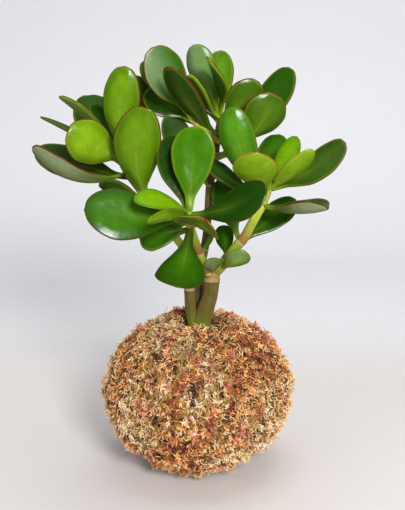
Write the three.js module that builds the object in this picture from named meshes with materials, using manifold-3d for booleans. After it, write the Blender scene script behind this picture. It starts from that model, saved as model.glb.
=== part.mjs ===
import * as THREE from 'three';
import { mergeVertices } from 'three/addons/utils/BufferGeometryUtils.js';
import Module from 'manifold-3d';

// A jade plant growing out of a round moss ball. Millimetres, +Z up, the front looks to -Y.
// The origin is the centre of the flat foot under the ball.

const wasm = await Module();
wasm.setup();
const { Manifold, Mesh } = wasm;

// Air left between two pieces that touch in the real plant, wider where faces meet aslant.
const SEAT_GAP = 0.3;
const BUD_GAP = 0.48;
const GROOVE_GAP = 0.45;

// The ball: a wound shell of moss round a core of soil, pressed flat where it stands.
const BALL = {
  radius: 59.5,
  halfHeight: 50.5,
  baseHalfHeight: 51.5,
  centreZ: 49.5,
  topPower: 1.92,
  basePower: 2.0,
  detail: 8,
  tuftHeight: 1.0,
  tuftWaves: 9,
  tuftPitch: 0.42,
  tuftShift: 1.7,
  dimpleX: 2,
  dimpleDepth: 8,
  dimpleRadius: 15,
};
const GOLDEN_ANGLE = Math.PI * (3 - Math.sqrt(5));
const SOIL = { radius: 46, halfHeight: 38, detail: 3 };

// The thread goes round the ball in tilted loops that miss both the trunks and the foot.
const THREAD = { radius: 0.6, sides: 4, steps: 24, proud: 0.3, valleyDepth: 2, valleyWidth: 6, tilt: 64 };
const THREAD_TURNS = [28, 152, 262];

const COLOURS = {
  moss: { color: 0xa8834f, roughness: 1.0 },
  soil: { color: 0x33241a, roughness: 1.0 },
  thread: { color: 0xb9a176, roughness: 0.8 },
  bark: { color: 0x6d5b3c, roughness: 0.85 },
  greenStem: { color: 0x8a9a3a, roughness: 0.5 },
  leaf: { color: 0x2f6b1c, roughness: 0.35 },
  youngLeaf: { color: 0x7fae2b, roughness: 0.35 },
};

// Centre lines of the stems, from the root end to the tip, with the radius at both ends.
const TRUNKS = {
  trunk_right: {
    path: [[1, 0, 62], [1, -1.5, 80], [1.6, -3.4, 92], [4.2, -5, 101], [7.4, -4.8, 111], [8.2, -4.5, 120],
      [8.1, -4.6, 126]],
    radii: [2.2, 5, 5.6, 5.2, 4.7, 4.8, 4.1],
    sides: 10,
  },
  trunk_left: {
    path: [[-1.4, -1, 80], [-3.2, -2.4, 92], [-4.8, -3, 102], [-5.4, -3, 113], [-5.8, -2, 125],
      [-7.4, -1, 134.5]],
    radii: [3.4, 3.8, 3.6, 3.3, 3.0, 2.6],
    sides: 8,
  },
  trunk_centre: {
    path: [[0.8, 1, 80], [0.3, 4.5, 93], [0.2, 8, 108], [2, 10, 127], [4.6, 11, 142], [5.8, 11, 158],
      [6.8, 11, 173], [9, 10, 189], [11, 9, 201], [12.4, 8, 212], [13.5, 7.6, 219]],
    radii: [3.4, 3.2, 3.0, 2.7, 2.5, 2.4, 2.4, 2.3, 2.2, 2.0, 1.7],
    sides: 8,
  },
};

const BRANCHES = {
  branch_left: {
    path: [[-7.2, -1, 134], [-9.5, 0, 139.5], [-13.6, 1, 145.2], [-20.3, 2, 153], [-28, 2, 164.7],
      [-35.1, 2, 174.4], [-42, 3, 184], [-46.8, 4, 192.5], [-49, 4, 199]],
    radii: [2.5, 2.5, 2.4, 2.3, 2.3, 2.3, 2.2, 2.0, 1.6],
    bud: 3.4,
  },
  branch_top: {
    path: [[11.6, 8.4, 203], [8.4, 5, 206.2], [5, 2, 209.6], [0.4, 0, 212.8], [-3.8, -2, 216.4],
      [-6, -3, 220.5]],
    radii: [1.9, 1.9, 1.8, 1.8, 1.7, 1.4],
    bud: 3,
  },
  branch_upper_right: {
    path: [[10, 9.6, 193], [14.5, 6.5, 195], [20.5, 4, 196.8], [25.6, 3, 199], [28.4, 3, 203]],
    radii: [2.2, 2.2, 2.1, 1.9, 1.5],
    bud: 3,
  },
  branch_right: {
    path: [[8.6, -4.6, 124], [13.6, -5.6, 129], [18.4, -7, 135.7], [22.6, -8, 141.6], [27.5, -9, 147.6],
      [31.2, -10, 155.2], [36.3, -12, 165.7], [39.3, -13, 172.9], [41.6, -14, 178.6]],
    radii: [3.2, 3.2, 3.1, 3.0, 3.1, 2.8, 2.8, 2.6, 2.0],
    bud: 6.5,
  },
  branch_front: {
    path: [[6.4, -6.6, 124], [4.2, -10, 131], [1, -13.6, 138.3], [-1.5, -19.5, 147], [-3.8, -26.6, 155],
      [-5, -31.6, 161.4], [-5.2, -34.6, 167]],
    radii: [2.5, 2.4, 2.4, 2.3, 2.3, 2.2, 1.7],
    bud: 5.5,
  },
};

// One row for each leaf: the stem that bears it and where (share of its length), the tip,
// the way its upper face looks, the greatest width and how far the blade bows towards its
// upper face (share of its length). `cup` is how far its edges rise (share of its half
// width) and `sway` bows the blade sideways. `widest` above 1 moves the widest place towards
// the tip, below 1 towards the stalk. Young leaves are a fresh green.
const leaf = (name, stem, at, tip, face, width, arch, extras = {}) => (
  { name, stem, at, tip, face, width, arch, cup: 0.1, sway: 0, widest: 1, young: false, ...extras }
);
const YOUNG = { young: true };
const ROUND = { young: true, widest: 0.75 };
const WEDGE = { cup: 0.05, widest: 0.95 };
const OVAL = { widest: 0.85 };
const LEAVES = [
  leaf('leaf_left_1', 'branch_left', 0.58, [-30.1, -27, 225], [0.05, 1, 0.2], 27.5, -0.07,
    { sway: 0.07, widest: 0.85 }),
  leaf('leaf_left_2', 'branch_left', 0.99, [-41.8, -8, 247], [0.1, 1, 0.2], 22.5, -0.05, OVAL),
  leaf('leaf_left_3', 'branch_left', 0.86, [-37.5, 24, 242], [0.3, 0.9, 0.3], 20, -0.04, { sway: -0.06 }),
  leaf('leaf_left_4', 'branch_left', 0.88, [-73.3, -24, 211.5], [0, 1, -0.2], 25.5, -0.06, OVAL),
  leaf('leaf_left_5', 'branch_left', 1, [-80.4, -6, 230], [0.5, 0.4, 0.7], 17, 0.06, { cup: 0.15 }),
  leaf('leaf_left_6', 'branch_left', 0.9, [-72.6, 46, 229.5], [0.2, -0.9, 0.3], 27, -0.04),
  leaf('leaf_left_7', 'branch_left', 0.99, [-64.3, 14, 225.2], [0.5, -0.6, 0.6], 14, 0.03),
  leaf('leaf_left_8', 'branch_left', 0.84, [-101, 42, 216], [0.05, 0.12, 1], 14, 0.03),
  leaf('leaf_left_9', 'branch_left', 0.76, [-94.2, -20, 202], [-0.1, 0.45, 0.9], 22, -0.19, { cup: 0.2 }),
  leaf('leaf_left_10', 'branch_left', 0.73, [-101.4, 24, 196.5], [0.1, -0.75, 0.65], 24, -0.06),
  leaf('leaf_left_11', 'branch_left', 0.5, [-63.5, 14, 168.5], [0.1, -0.4, 0.9], 15, 0.05),
  leaf('leaf_left_12', 'branch_left', 0.54, [-58.5, -7, 180], [0, 0.7, 0.7], 14, 0.02),
  leaf('leaf_front_1', 'branch_front', 0.9, [-61.2, -52, 171], [0.1, -0.85, 0.5], 29, 0.02,
    { sway: -0.04 }),
  leaf('leaf_front_2', 'branch_front', 0.99, [-34.2, -55, 176.5], [0.1, -0.5, 0.9], 17, 0.1, ROUND),
  leaf('leaf_front_3', 'branch_front', 0.92, [-25.6, -72, 168.5], [-0.2, 0.75, 0.6], 13, 0.04, ROUND),
  leaf('leaf_front_4', 'branch_front', 1, [-1.7, -28, 214.2], [0, -1, 0.1], 24.5, -0.03, YOUNG),
  leaf('leaf_front_5', 'branch_front', 0.94, [-14.4, -12, 209], [0.25, -0.9, 0.3], 25, -0.05),
  leaf('leaf_front_6', 'branch_front', 0.95, [37.3, -47, 182.5], [-0.1, -0.8, 0.6], 21, -0.02,
    { sway: 0.09 }),
  leaf('leaf_front_7', 'branch_front', 0.8, [3.4, -68, 168.5], [0.34, 0.4, 0.85], 27, 0.01,
    { cup: -0.38, widest: 1.1 }),
  leaf('leaf_front_8', 'branch_front', 0.72, [-12, -72, 134], [0.05, -0.5, 0.85], 27, -0.2, WEDGE),
  leaf('leaf_front_9', 'branch_front', 0.68, [-34, -24, 149.5], [0.1, -0.75, 0.65], 21, 0.02),
  leaf('leaf_front_10', 'branch_front', 0.78, [-29, 5, 154], [0, 0.85, 0.5], 18, -0.03),
  leaf('leaf_front_11', 'branch_front', 0.35, [9, -9, 150], [-0.6, 0.4, 0.6], 7, -0.04),
  leaf('leaf_right_1', 'branch_right', 0.12, [28, -23, 141.5], [0.15, 0.75, 0.6], 14, -0.05),
  leaf('leaf_right_2', 'branch_right', 0.22, [15.5, 12, 151], [0, -0.9, 0.4], 12, -0.04),
  leaf('leaf_right_3', 'branch_right', 0.44, [13, 10, 180], [-0.1, -0.8, 0.6], 17, -0.05),
  leaf('leaf_right_4', 'branch_right', 0.43, [59.5, 10, 168], [-0.1, -0.7, 0.7], 18, -0.04),
  leaf('leaf_right_5', 'branch_right', 0.78, [74.2, -28, 168], [-0.1, 0.1, 1], 27, -0.06,
    { cup: 0.48 }),
  leaf('leaf_right_6', 'branch_right', 0.97, [83.5, -22, 204.6], [-0.35, -0.7, 0.6], 22, -0.05,
    { sway: 0.05 }),
  leaf('leaf_right_7', 'branch_right', 0.99, [63.8, -31, 201.5], [-0.4, 0.8, 0.4], 15, -0.05, ROUND),
  leaf('leaf_right_8', 'branch_right', 0.98, [57, -12, 207.5], [-0.5, -0.8, 0.2], 14, -0.05, ROUND),
  leaf('leaf_right_9', 'branch_right', 0.96, [27, -45, 200.5], [-0.1, 0.6, 0.8], 24, -0.08, YOUNG),
  leaf('leaf_right_10', 'trunk_right', 0.98, [8.6, -19, 137], [-0.2, 0.8, 0.6], 11, -0.05),
  leaf('leaf_right_11', 'branch_right', 0.88, [17.8, -22, 224.3], [0.1, 0.95, 0.3], 21, -0.06,
    { sway: 0.04 }),
  leaf('leaf_right_12', 'branch_right', 0.87, [49, 20, 206.5], [0, -0.8, 0.5], 20, -0.04),
  leaf('leaf_right_13', 'branch_right', 0.82, [3.6, -2, 193.3], [0, -0.6, 0.8], 12, -0.04),
  leaf('leaf_upper_1', 'branch_upper_right', 0.98, [45.2, -7, 231.2], [-0.3, 0.9, 0.2], 26.5, -0.05, OVAL),
  leaf('leaf_upper_2', 'branch_upper_right', 0.97, [56.4, 34, 247], [-0.3, -0.8, 0.4], 22, -0.05, OVAL),
  leaf('leaf_upper_3', 'trunk_centre', 0.97, [35.6, 0, 238], [-0.3, 0.9, 0.3], 21.5, -0.05, OVAL),
  leaf('leaf_top_1', 'branch_top', 0.97, [-26.3, -12, 257], [0.3, -0.9, 0.2], 25, -0.04, OVAL),
  leaf('leaf_top_2', 'trunk_centre', 0.85, [-16.5, -30, 246.3], [0.4, 0.8, 0.4], 17.5, -0.05),
  leaf('leaf_top_3', 'trunk_centre', 0.99, [-2.6, 2, 259.3], [0.3, 0.9, 0.2], 18.5, -0.03, { cup: 0.2 }),
  leaf('leaf_top_4', 'trunk_centre', 1, [5.5, -22, 250.7], [-0.6, -0.7, 0.4], 17.5, -0.11),
  leaf('leaf_top_5', 'trunk_centre', 0.98, [13.5, 32, 257], [0, -0.9, 0.3], 17, -0.04),
  leaf('leaf_top_6', 'trunk_centre', 0.97, [-4.8, -12, 242], [0.6, 0.3, 0.7], 15, -0.06),
  leaf('leaf_top_7', 'trunk_centre', 0.93, [-2, 16, 236], [0.3, -0.6, 0.7], 13, -0.04),
  leaf('leaf_top_8', 'branch_top', 1, [-33.3, 26, 250.3], [0.3, -0.8, 0.4], 17, -0.04),
  leaf('leaf_top_9', 'branch_top', 0.78, [-30.8, 4, 233.4], [0.35, -0.8, 0.45], 22, -0.04),
  leaf('leaf_top_10', 'branch_top', 0.68, [-20.5, 30, 224], [0.3, -0.6, 0.7], 14, -0.04),
  leaf('leaf_centre_1', 'trunk_centre', 0.62, [-19.4, -4, 219], [0.2, -0.8, 0.5], 20, -0.04),
];

// Half width (share of the greatest) and thickness (mm) of a blade along its length:
// a narrow stalk, widest past the middle, a blunt tip.
const OUTLINE = [
  { at: 0.0, half: 0.17, thick: 2.6 },
  { at: 0.13, half: 0.21, thick: 2.6 },
  { at: 0.29, half: 0.49, thick: 3.0 },
  { at: 0.48, half: 0.87, thick: 3.1 },
  { at: 0.67, half: 1.0, thick: 3.0 },
  { at: 0.84, half: 0.85, thick: 2.5 },
  { at: 0.96, half: 0.48, thick: 1.8 },
];
const EDGE_THICKNESS = 0.9;

// A stalk starts inside its stem (share of the stem's radius) and leaves it mostly
// sideways (share of the slant that is taken away).
const STALK = { sunk: 0.7, squared: 0.75 };

// A stem ends in a smaller circle (shares of its end radius), a bud in a point.
const STEM_END = { rise: 0.6, width: 0.55 };
const BUD = { sides: 6, root: 0.8, waist: 0.75, waistAt: 0.5, sunk: 1 };

const vec = ([x, y, z]) => new THREE.Vector3(x, y, z);

// Closes a row of equal rings of points with a fan at both ends, the last one to `apex`.
function loft(rings, apex = centroid(rings.at(-1))) {
  const sides = rings[0].length;
  const points = [...rings.flat(), centroid(rings[0]), apex];
  const first = points.length - 2;
  const last = points.length - 1;
  const index = [];
  for (let side = 0; side < sides; side += 1) {
    const next = (side + 1) % sides;
    index.push(first, next, side);
    index.push(last, last - 1 - sides + side, last - 1 - sides + next);
    for (let ring = 0; ring < rings.length - 1; ring += 1) {
      const low = ring * sides;
      const high = low + sides;
      index.push(low + side, low + next, high + next);
      index.push(low + side, high + next, high + side);
    }
  }
  const geometry = new THREE.BufferGeometry().setFromPoints(points);
  geometry.setIndex(index);
  return geometry;
}

function centroid(points) {
  const sum = points.reduce((total, point) => total.add(point), new THREE.Vector3());
  return sum.divideScalar(points.length);
}

// A closed solid from a geometry, with its equal corners merged.
function solid(geometry) {
  const bare = geometry.clone();
  bare.deleteAttribute('normal');
  bare.deleteAttribute('uv');
  const merged = mergeVertices(bare, 1e-4);
  return new Manifold(new Mesh({
    numProp: 3,
    vertProperties: new Float32Array(merged.attributes.position.array),
    triVerts: new Uint32Array(merged.index.array),
  }));
}

// A named mesh from a solid.
function piece(name, body, finish) {
  const mesh = body.getMesh();
  const geometry = new THREE.BufferGeometry();
  geometry.setAttribute('position', new THREE.BufferAttribute(mesh.vertProperties, 3));
  geometry.setIndex(new THREE.BufferAttribute(mesh.triVerts, 1));
  geometry.computeVertexNormals();
  const material = new THREE.MeshStandardMaterial({ ...COLOURS[finish], metalness: 0 });
  const result = new THREE.Mesh(geometry, material);
  result.name = name;
  return result;
}

// Circles of points round a smooth centre line, thicker by `extra`.
function tube({ path, radii, sides = 8 }, extra = 0) {
  const curve = new THREE.CatmullRomCurve3(path.map(vec), false, 'centripetal');
  const steps = path.length - 1;
  const rings = [];
  let across = new THREE.Vector3(1, 0, 0);
  for (let step = 0; step <= steps; step += 1) {
    const t = step / steps;
    const centre = curve.getPoint(t);
    const along = curve.getTangent(t);
    across = across.clone().addScaledVector(along, -across.dot(along)).normalize();
    const beside = along.clone().cross(across);
    const radius = mixed(radii, t) + extra;
    const end = step === 0 ? -extra : step === steps ? extra : 0;
    rings.push(circle(centre.addScaledVector(along, end), across, beside, radius, sides));
  }
  rings.push(domeEnd(curve, across, mixed(radii, 1) + extra, sides, extra));
  return loft(rings);
}

function circle(centre, across, beside, radius, sides) {
  return Array.from({ length: sides }, (_, side) => {
    const angle = (side / sides) * 2 * Math.PI;
    return centre.clone()
      .addScaledVector(across, Math.cos(angle) * radius)
      .addScaledVector(beside, Math.sin(angle) * radius);
  });
}

// The last, smaller circle that rounds the growing end of a stem.
function domeEnd(curve, across, radius, sides, extra) {
  const along = curve.getTangent(1);
  const centre = curve.getPoint(1).addScaledVector(along, radius * STEM_END.rise + extra);
  return circle(centre, across, along.clone().cross(across), radius * STEM_END.width, sides);
}

// Value of a row of numbers at a share of its length.
function mixed(values, share) {
  const place = Math.min(share, 1) * (values.length - 1);
  const low = Math.min(Math.floor(place), values.length - 2);
  return THREE.MathUtils.lerp(values[low], values[low + 1], place - low);
}

// The four axes of a leaf: base, direction to the tip, upper face, side.
function leafFrame({ stem, at, tip, face }) {
  const { path, radii } = STEMS[stem];
  const curve = new THREE.CatmullRomCurve3(path.map(vec), false, 'centripetal');
  const centre = curve.getPoint(at);
  const along = curve.getTangent(at);
  const out = vec(tip).sub(centre);
  const length = out.length();
  out.addScaledVector(along, -STALK.squared * out.dot(along)).normalize();
  const base = centre.addScaledVector(out, mixed(radii, at) * STALK.sunk);
  const axis = vec(tip).sub(base);
  const size = axis.length();
  axis.normalize();
  const upper = vec(face);
  upper.addScaledVector(axis, -upper.dot(axis)).normalize();
  return { base, axis, upper, side: axis.clone().cross(upper), size: Math.min(size, length) };
}

// Share of a bow's greatest depth at a share of the length.
const bow = (s) => 4 * s * (1 - s);

// Blade of one leaf: eight points round a flattened section at each step of the outline.
// `extra` makes it larger all round.
function blade(row, extra = 0) {
  const { base, axis, upper, side, size } = leafFrame(row);
  const rings = OUTLINE.map(({ at, half, thick }) => {
    const s = at ** (1 / row.widest);
    const reach = half * row.width / 2 + extra;
    const centre = base.clone()
      .addScaledVector(axis, s === 0 ? -extra : s * size)
      .addScaledVector(side, row.sway * size * bow(s))
      .addScaledVector(upper, row.arch * size * bow(s));
    const place = (across, height) => centre.clone()
      .addScaledVector(side, across * reach)
      .addScaledVector(upper, height + row.cup * reach * across * across);
    const edge = EDGE_THICKNESS / 2 + extra;
    const deep = thick / 2 + extra;
    return [
      place(-1, edge), place(-0.5, deep), place(0.5, deep), place(1, edge),
      place(1, -edge), place(0.5, -deep), place(-0.5, -deep), place(-1, -edge),
    ];
  });
  return loft(rings, base.addScaledVector(axis, size + extra));
}

// The two closed young leaves at the growing end of a shoot, as one pointed bud.
function bud({ path, radii, bud: length }, extra = 0) {
  const curve = new THREE.CatmullRomCurve3(path.map(vec), false, 'centripetal');
  const along = curve.getTangent(1);
  const tip = curve.getPoint(1);
  const radius = radii.at(-1) + extra;
  const shape = [
    new THREE.Vector2(0, -BUD.sunk),
    new THREE.Vector2(radius * BUD.root, 0),
    new THREE.Vector2(radius * BUD.waist, length * BUD.waistAt),
    new THREE.Vector2(0, length + extra),
  ];
  const geometry = new THREE.LatheGeometry(shape, BUD.sides);
  const turn = new THREE.Quaternion().setFromUnitVectors(new THREE.Vector3(0, 1, 0), along);
  return geometry.applyQuaternion(turn).translate(tip.x, tip.y, tip.z);
}

// Distance from the ball's centre to its plain surface along a direction.
function ballRadius(direction, shape) {
  const { radius, halfHeight, baseHalfHeight = halfHeight, topPower = 2, basePower = 2 } = shape;
  const power = direction.z > 0 ? topPower : basePower;
  const flat = Math.hypot(direction.x, direction.y) / radius;
  const high = Math.abs(direction.z) / (direction.z > 0 ? halfHeight : baseHalfHeight);
  return (flat ** power + high ** power) ** (-1 / power);
}

// Unit normals of the planes that hold the loops of thread.
const THREAD_PLANES = THREAD_TURNS.map((turn) => {
  const tilt = THREE.MathUtils.degToRad(THREAD.tilt);
  const angle = THREE.MathUtils.degToRad(turn);
  return new THREE.Vector3(Math.cos(angle), Math.sin(angle), 0)
    .multiplyScalar(Math.sin(tilt))
    .setZ(Math.cos(tilt));
});

// Height of the tufts at a point, from waves of fixed, scattered directions.
function tufts(point) {
  let height = 0;
  for (let wave = 0; wave < BALL.tuftWaves; wave += 1) {
    const turn = wave * GOLDEN_ANGLE;
    const rise = 1 - (2 * (wave + 0.5)) / BALL.tuftWaves;
    const flat = Math.sqrt(1 - rise * rise);
    const heading = new THREE.Vector3(Math.cos(turn) * flat, Math.sin(turn) * flat, rise);
    height += Math.sin(heading.dot(point) * BALL.tuftPitch + wave * BALL.tuftShift);
  }
  return (height / Math.sqrt(BALL.tuftWaves)) * BALL.tuftHeight;
}

// Distance from the ball's centre to the moss: tufts, thread valleys and a dimple at the trunks.
function mossRadius(direction) {
  const plain = ballRadius(direction, BALL);
  const point = direction.clone().multiplyScalar(plain);
  const valley = THREAD_PLANES.reduce((deepest, normal) => {
    const off = point.dot(normal) / THREAD.valleyWidth;
    return Math.max(deepest, Math.exp(-off * off));
  }, 0);
  const off = Math.hypot(point.x - BALL.dimpleX, point.y) / BALL.dimpleRadius;
  const dimple = direction.z > 0 ? BALL.dimpleDepth * Math.exp(-(off ** 4)) : 0;
  return plain + tufts(point) - valley * THREAD.valleyDepth - dimple;
}

// A ball whose surface lies at the given distance along each direction.
function rounded(detail, distance) {
  const geometry = new THREE.IcosahedronGeometry(1, detail);
  const corners = geometry.attributes.position;
  for (let corner = 0; corner < corners.count; corner += 1) {
    const direction = new THREE.Vector3().fromBufferAttribute(corners, corner).normalize();
    const point = direction.clone().multiplyScalar(distance(direction));
    corners.setXYZ(corner, point.x, point.y, point.z + BALL.centreZ);
  }
  return solid(geometry);
}

// One closed loop of thread, or the groove that it lies in when grown by `extra`.
function threadLoop(normal, extra = 0) {
  const first = new THREE.Vector3(0, 0, 1).cross(normal).normalize();
  const second = normal.clone().cross(first);
  const ring = [];
  for (let step = 0; step < THREAD.steps; step += 1) {
    const angle = (step / THREAD.steps) * 2 * Math.PI;
    const out = first.clone().multiplyScalar(Math.cos(angle)).addScaledVector(second, Math.sin(angle));
    ring.push(out.clone().multiplyScalar(mossRadius(out) + THREAD.proud));
  }
  const curve = new THREE.CatmullRomCurve3(ring, true);
  const geometry = new THREE.TubeGeometry(curve, THREAD.steps, THREAD.radius + extra, THREAD.sides, true);
  return solid(geometry.translate(0, 0, BALL.centreZ));
}

const STEMS = { ...TRUNKS, ...BRANCHES };

const fuse = (bodies) => bodies.reduce((total, body) => total.add(body));

const trunks = fuse(Object.values(TRUNKS).map((row) => solid(tube(row))));
const trunksGrown = fuse(Object.values(TRUNKS).map((row) => solid(tube(row, SEAT_GAP))));

const soil = rounded(SOIL.detail, (direction) => ballRadius(direction, SOIL));
const cavity = rounded(SOIL.detail, (direction) => ballRadius(direction, SOIL) + SEAT_GAP);
const groundSize = 4 * BALL.radius;
const ground = solid(new THREE.BoxGeometry(groundSize, groundSize, groundSize)
  .translate(0, 0, -groundSize / 2));
const threads = fuse(THREAD_PLANES.map((normal) => threadLoop(normal)));
const groove = fuse(THREAD_PLANES.map((normal) => threadLoop(normal, GROOVE_GAP)));
const moss = rounded(BALL.detail, mossRadius)
  .subtract(cavity)
  .subtract(ground)
  .subtract(trunksGrown)
  .subtract(groove);

const part = new THREE.Group();
part.add(piece('moss_layer', moss, 'moss'));
part.add(piece('soil_core', soil.subtract(trunksGrown), 'soil'));
part.add(piece('binding_thread', threads, 'thread'));
part.add(piece('woody_trunks', trunks, 'bark'));

let stemsGrown = trunksGrown;
for (const [name, row] of Object.entries(BRANCHES)) {
  const body = solid(tube(row)).add(solid(bud(row))).subtract(trunksGrown);
  part.add(piece(name, body, 'greenStem'));
  stemsGrown = stemsGrown.add(solid(tube(row, SEAT_GAP))).add(solid(bud(row, BUD_GAP)));
}

// Where leaf stalks crowd a shoot, each is pressed flat against those placed before it.
let leavesGrown = stemsGrown;
for (const row of LEAVES) {
  const body = solid(blade(row)).subtract(leavesGrown);
  part.add(piece(row.name, body, row.young ? 'youngLeaf' : 'leaf'));
  leavesGrown = leavesGrown.add(solid(blade(row, SEAT_GAP)));
}

export default part;
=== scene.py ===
"""A jade plant growing out of a round moss ball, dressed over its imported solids.

Lengths are millimetres in the frame of the part, with +Z up and the front facing -Y. Only the
studio is laid out in metres.
"""
import logging
import math
from dataclasses import asdict, dataclass
from enum import Enum
from typing import Iterable, Sequence

import bmesh
import bpy
import numpy as np
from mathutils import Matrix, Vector, noise


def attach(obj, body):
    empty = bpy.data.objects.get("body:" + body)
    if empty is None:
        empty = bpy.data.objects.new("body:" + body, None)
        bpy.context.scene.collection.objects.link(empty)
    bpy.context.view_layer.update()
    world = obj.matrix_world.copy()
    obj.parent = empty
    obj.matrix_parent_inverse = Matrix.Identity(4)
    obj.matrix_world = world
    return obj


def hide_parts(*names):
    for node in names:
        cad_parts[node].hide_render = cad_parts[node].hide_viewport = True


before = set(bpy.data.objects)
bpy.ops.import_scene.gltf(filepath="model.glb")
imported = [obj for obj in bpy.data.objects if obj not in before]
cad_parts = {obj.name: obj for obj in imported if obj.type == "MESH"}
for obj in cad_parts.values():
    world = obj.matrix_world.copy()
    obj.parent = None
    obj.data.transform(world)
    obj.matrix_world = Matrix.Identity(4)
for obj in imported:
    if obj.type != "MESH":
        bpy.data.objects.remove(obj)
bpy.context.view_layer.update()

LOG = logging.getLogger("plant")
MM = 0.001
GROUND_GAP = 0.05
Colour = tuple[float, float, float]
Point = tuple[float, float, float]
Span = tuple[float, float]
Socket = bpy.types.NodeSocket


def srgb(red: int, green: int, blue: int) -> Colour:
    """Turn a screen colour of 0 to 255 into the linear colour that shaders use."""
    channels = np.array([red, green, blue]) / 255
    linear = np.where(channels <= 0.04045, channels / 12.92, ((channels + 0.055) / 1.055) ** 2.4)
    return tuple(float(c) for c in linear)


def unit(vectors: np.ndarray) -> np.ndarray:
    """Scale vectors to length one along their last axis."""
    return vectors / np.maximum(np.linalg.norm(vectors, axis=-1, keepdims=True), 1e-12)


def eased(values: np.ndarray, low: float, high: float) -> np.ndarray:
    """Smooth step from 0 at low to 1 at high."""
    share = np.clip((values - low) / (high - low), 0, 1)
    return share * share * (3 - 2 * share)


def mixed(values: Sequence[float], share: np.ndarray) -> np.ndarray:
    """Read a row of numbers at places from 0 to 1 of its length."""
    return np.interp(share, np.linspace(0, 1, len(values)), values)


def circle(count: int) -> np.ndarray:
    """Spread angles evenly over a full turn."""
    return np.linspace(0, 2 * np.pi, count, endpoint=False)


def hoop(angle: np.ndarray, first: np.ndarray, second: np.ndarray) -> np.ndarray:
    """Find the directions at angles that turn from a first direction towards a second."""
    return np.cos(angle)[..., None] * first + np.sin(angle)[..., None] * second


# ---------------------------------------------------------------- curves and meshes


class Spline:
    """A smooth centripetal curve through points, as the stems of the part follow it."""

    def __init__(self, points: Sequence[Sequence[float]]) -> None:
        """Keep the points that the curve passes, of any number of dimensions."""
        self.points = np.array(points, float)

    def at(self, share: np.ndarray) -> np.ndarray:
        """Find points of the curve.

        Args:
            share: places from 0 at the first point to 1 at the last.

        Returns:
            One row for each place.
        """
        points, last = self.points, len(self.points) - 1
        place = np.atleast_1d(np.asarray(share, float)) * last
        low = np.clip(np.floor(place).astype(int), 0, last - 1)
        weight = (place - low)[:, None]
        padded = np.vstack([2 * points[0] - points[1], points, 2 * points[-1] - points[-2]])
        p0, p1, p2, p3 = (padded[low + step] for step in range(4))
        gaps = (np.sum(gap**2, axis=1, keepdims=True) ** 0.25 for gap in (p1 - p0, p2 - p1, p3 - p2))
        before, own, after = (np.maximum(gap, 1e-4) for gap in gaps)
        start = ((p1 - p0) / before - (p2 - p0) / (before + own) + (p2 - p1) / own) * own
        end = ((p2 - p1) / own - (p3 - p1) / (own + after) + (p3 - p2) / after) * own
        square = -3 * p1 + 3 * p2 - 2 * start - end
        cube = 2 * p1 - 2 * p2 + start + end
        return p1 + start * weight + square * weight**2 + cube * weight**3

    def along(self, share: np.ndarray) -> np.ndarray:
        """Find the unit directions of the curve at places from 0 to 1."""
        step = 1e-4
        high = np.minimum(np.atleast_1d(np.asarray(share, float)) + step, 1)
        return unit(self.at(high) - self.at(np.maximum(high - 2 * step, 0)))


def ring_faces(rings: int, around: int) -> np.ndarray:
    """Number the quads that join closed rings of equal size.

    Args:
        rings: how many rings there are.
        around: the points in a ring.

    Returns:
        One row of four corners for each quad, facing outwards.
    """
    ring, side = np.meshgrid(np.arange(rings - 1), np.arange(around), indexing="ij")
    low, following = ring * around, (side + 1) % around
    quads = np.stack([low + side, low + following, low + around + following, low + around + side], -1)
    return quads.reshape(-1, 4)


def capped(rings: int, around: int) -> list[np.ndarray]:
    """Number the faces of a tube whose ends close in the two points that follow its rings.

    Args:
        rings: how many rings there are.
        around: the points in a ring.

    Returns:
        Its quads and the triangles of its two ends, facing outwards.
    """
    total, turn = rings * around, np.arange(around)
    last, following = total - around, (turn + 1) % around
    return [ring_faces(rings, around),
            np.stack([np.full(around, total), following, turn], -1),
            np.stack([np.full(around, total + 1), last + turn, last + following], -1)]


def globe(detail: int) -> tuple[np.ndarray, np.ndarray]:
    """Make a ball of small triangles.

    Args:
        detail: how often its faces are divided.

    Returns:
        Its points, one from the centre, and the corners of its faces.
    """
    grid = bmesh.new()
    bmesh.ops.create_icosphere(grid, subdivisions=detail, radius=1)
    points = np.array([vertex.co for vertex in grid.verts])
    faces = np.array([[vertex.index for vertex in face.verts] for face in grid.faces])
    grid.free()
    return points, faces


def ground_clear(points: np.ndarray) -> np.ndarray:
    """Lift points that would lie under the surface that the ball stands on."""
    points[..., 2] = np.maximum(points[..., 2], GROUND_GAP)
    return points


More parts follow.
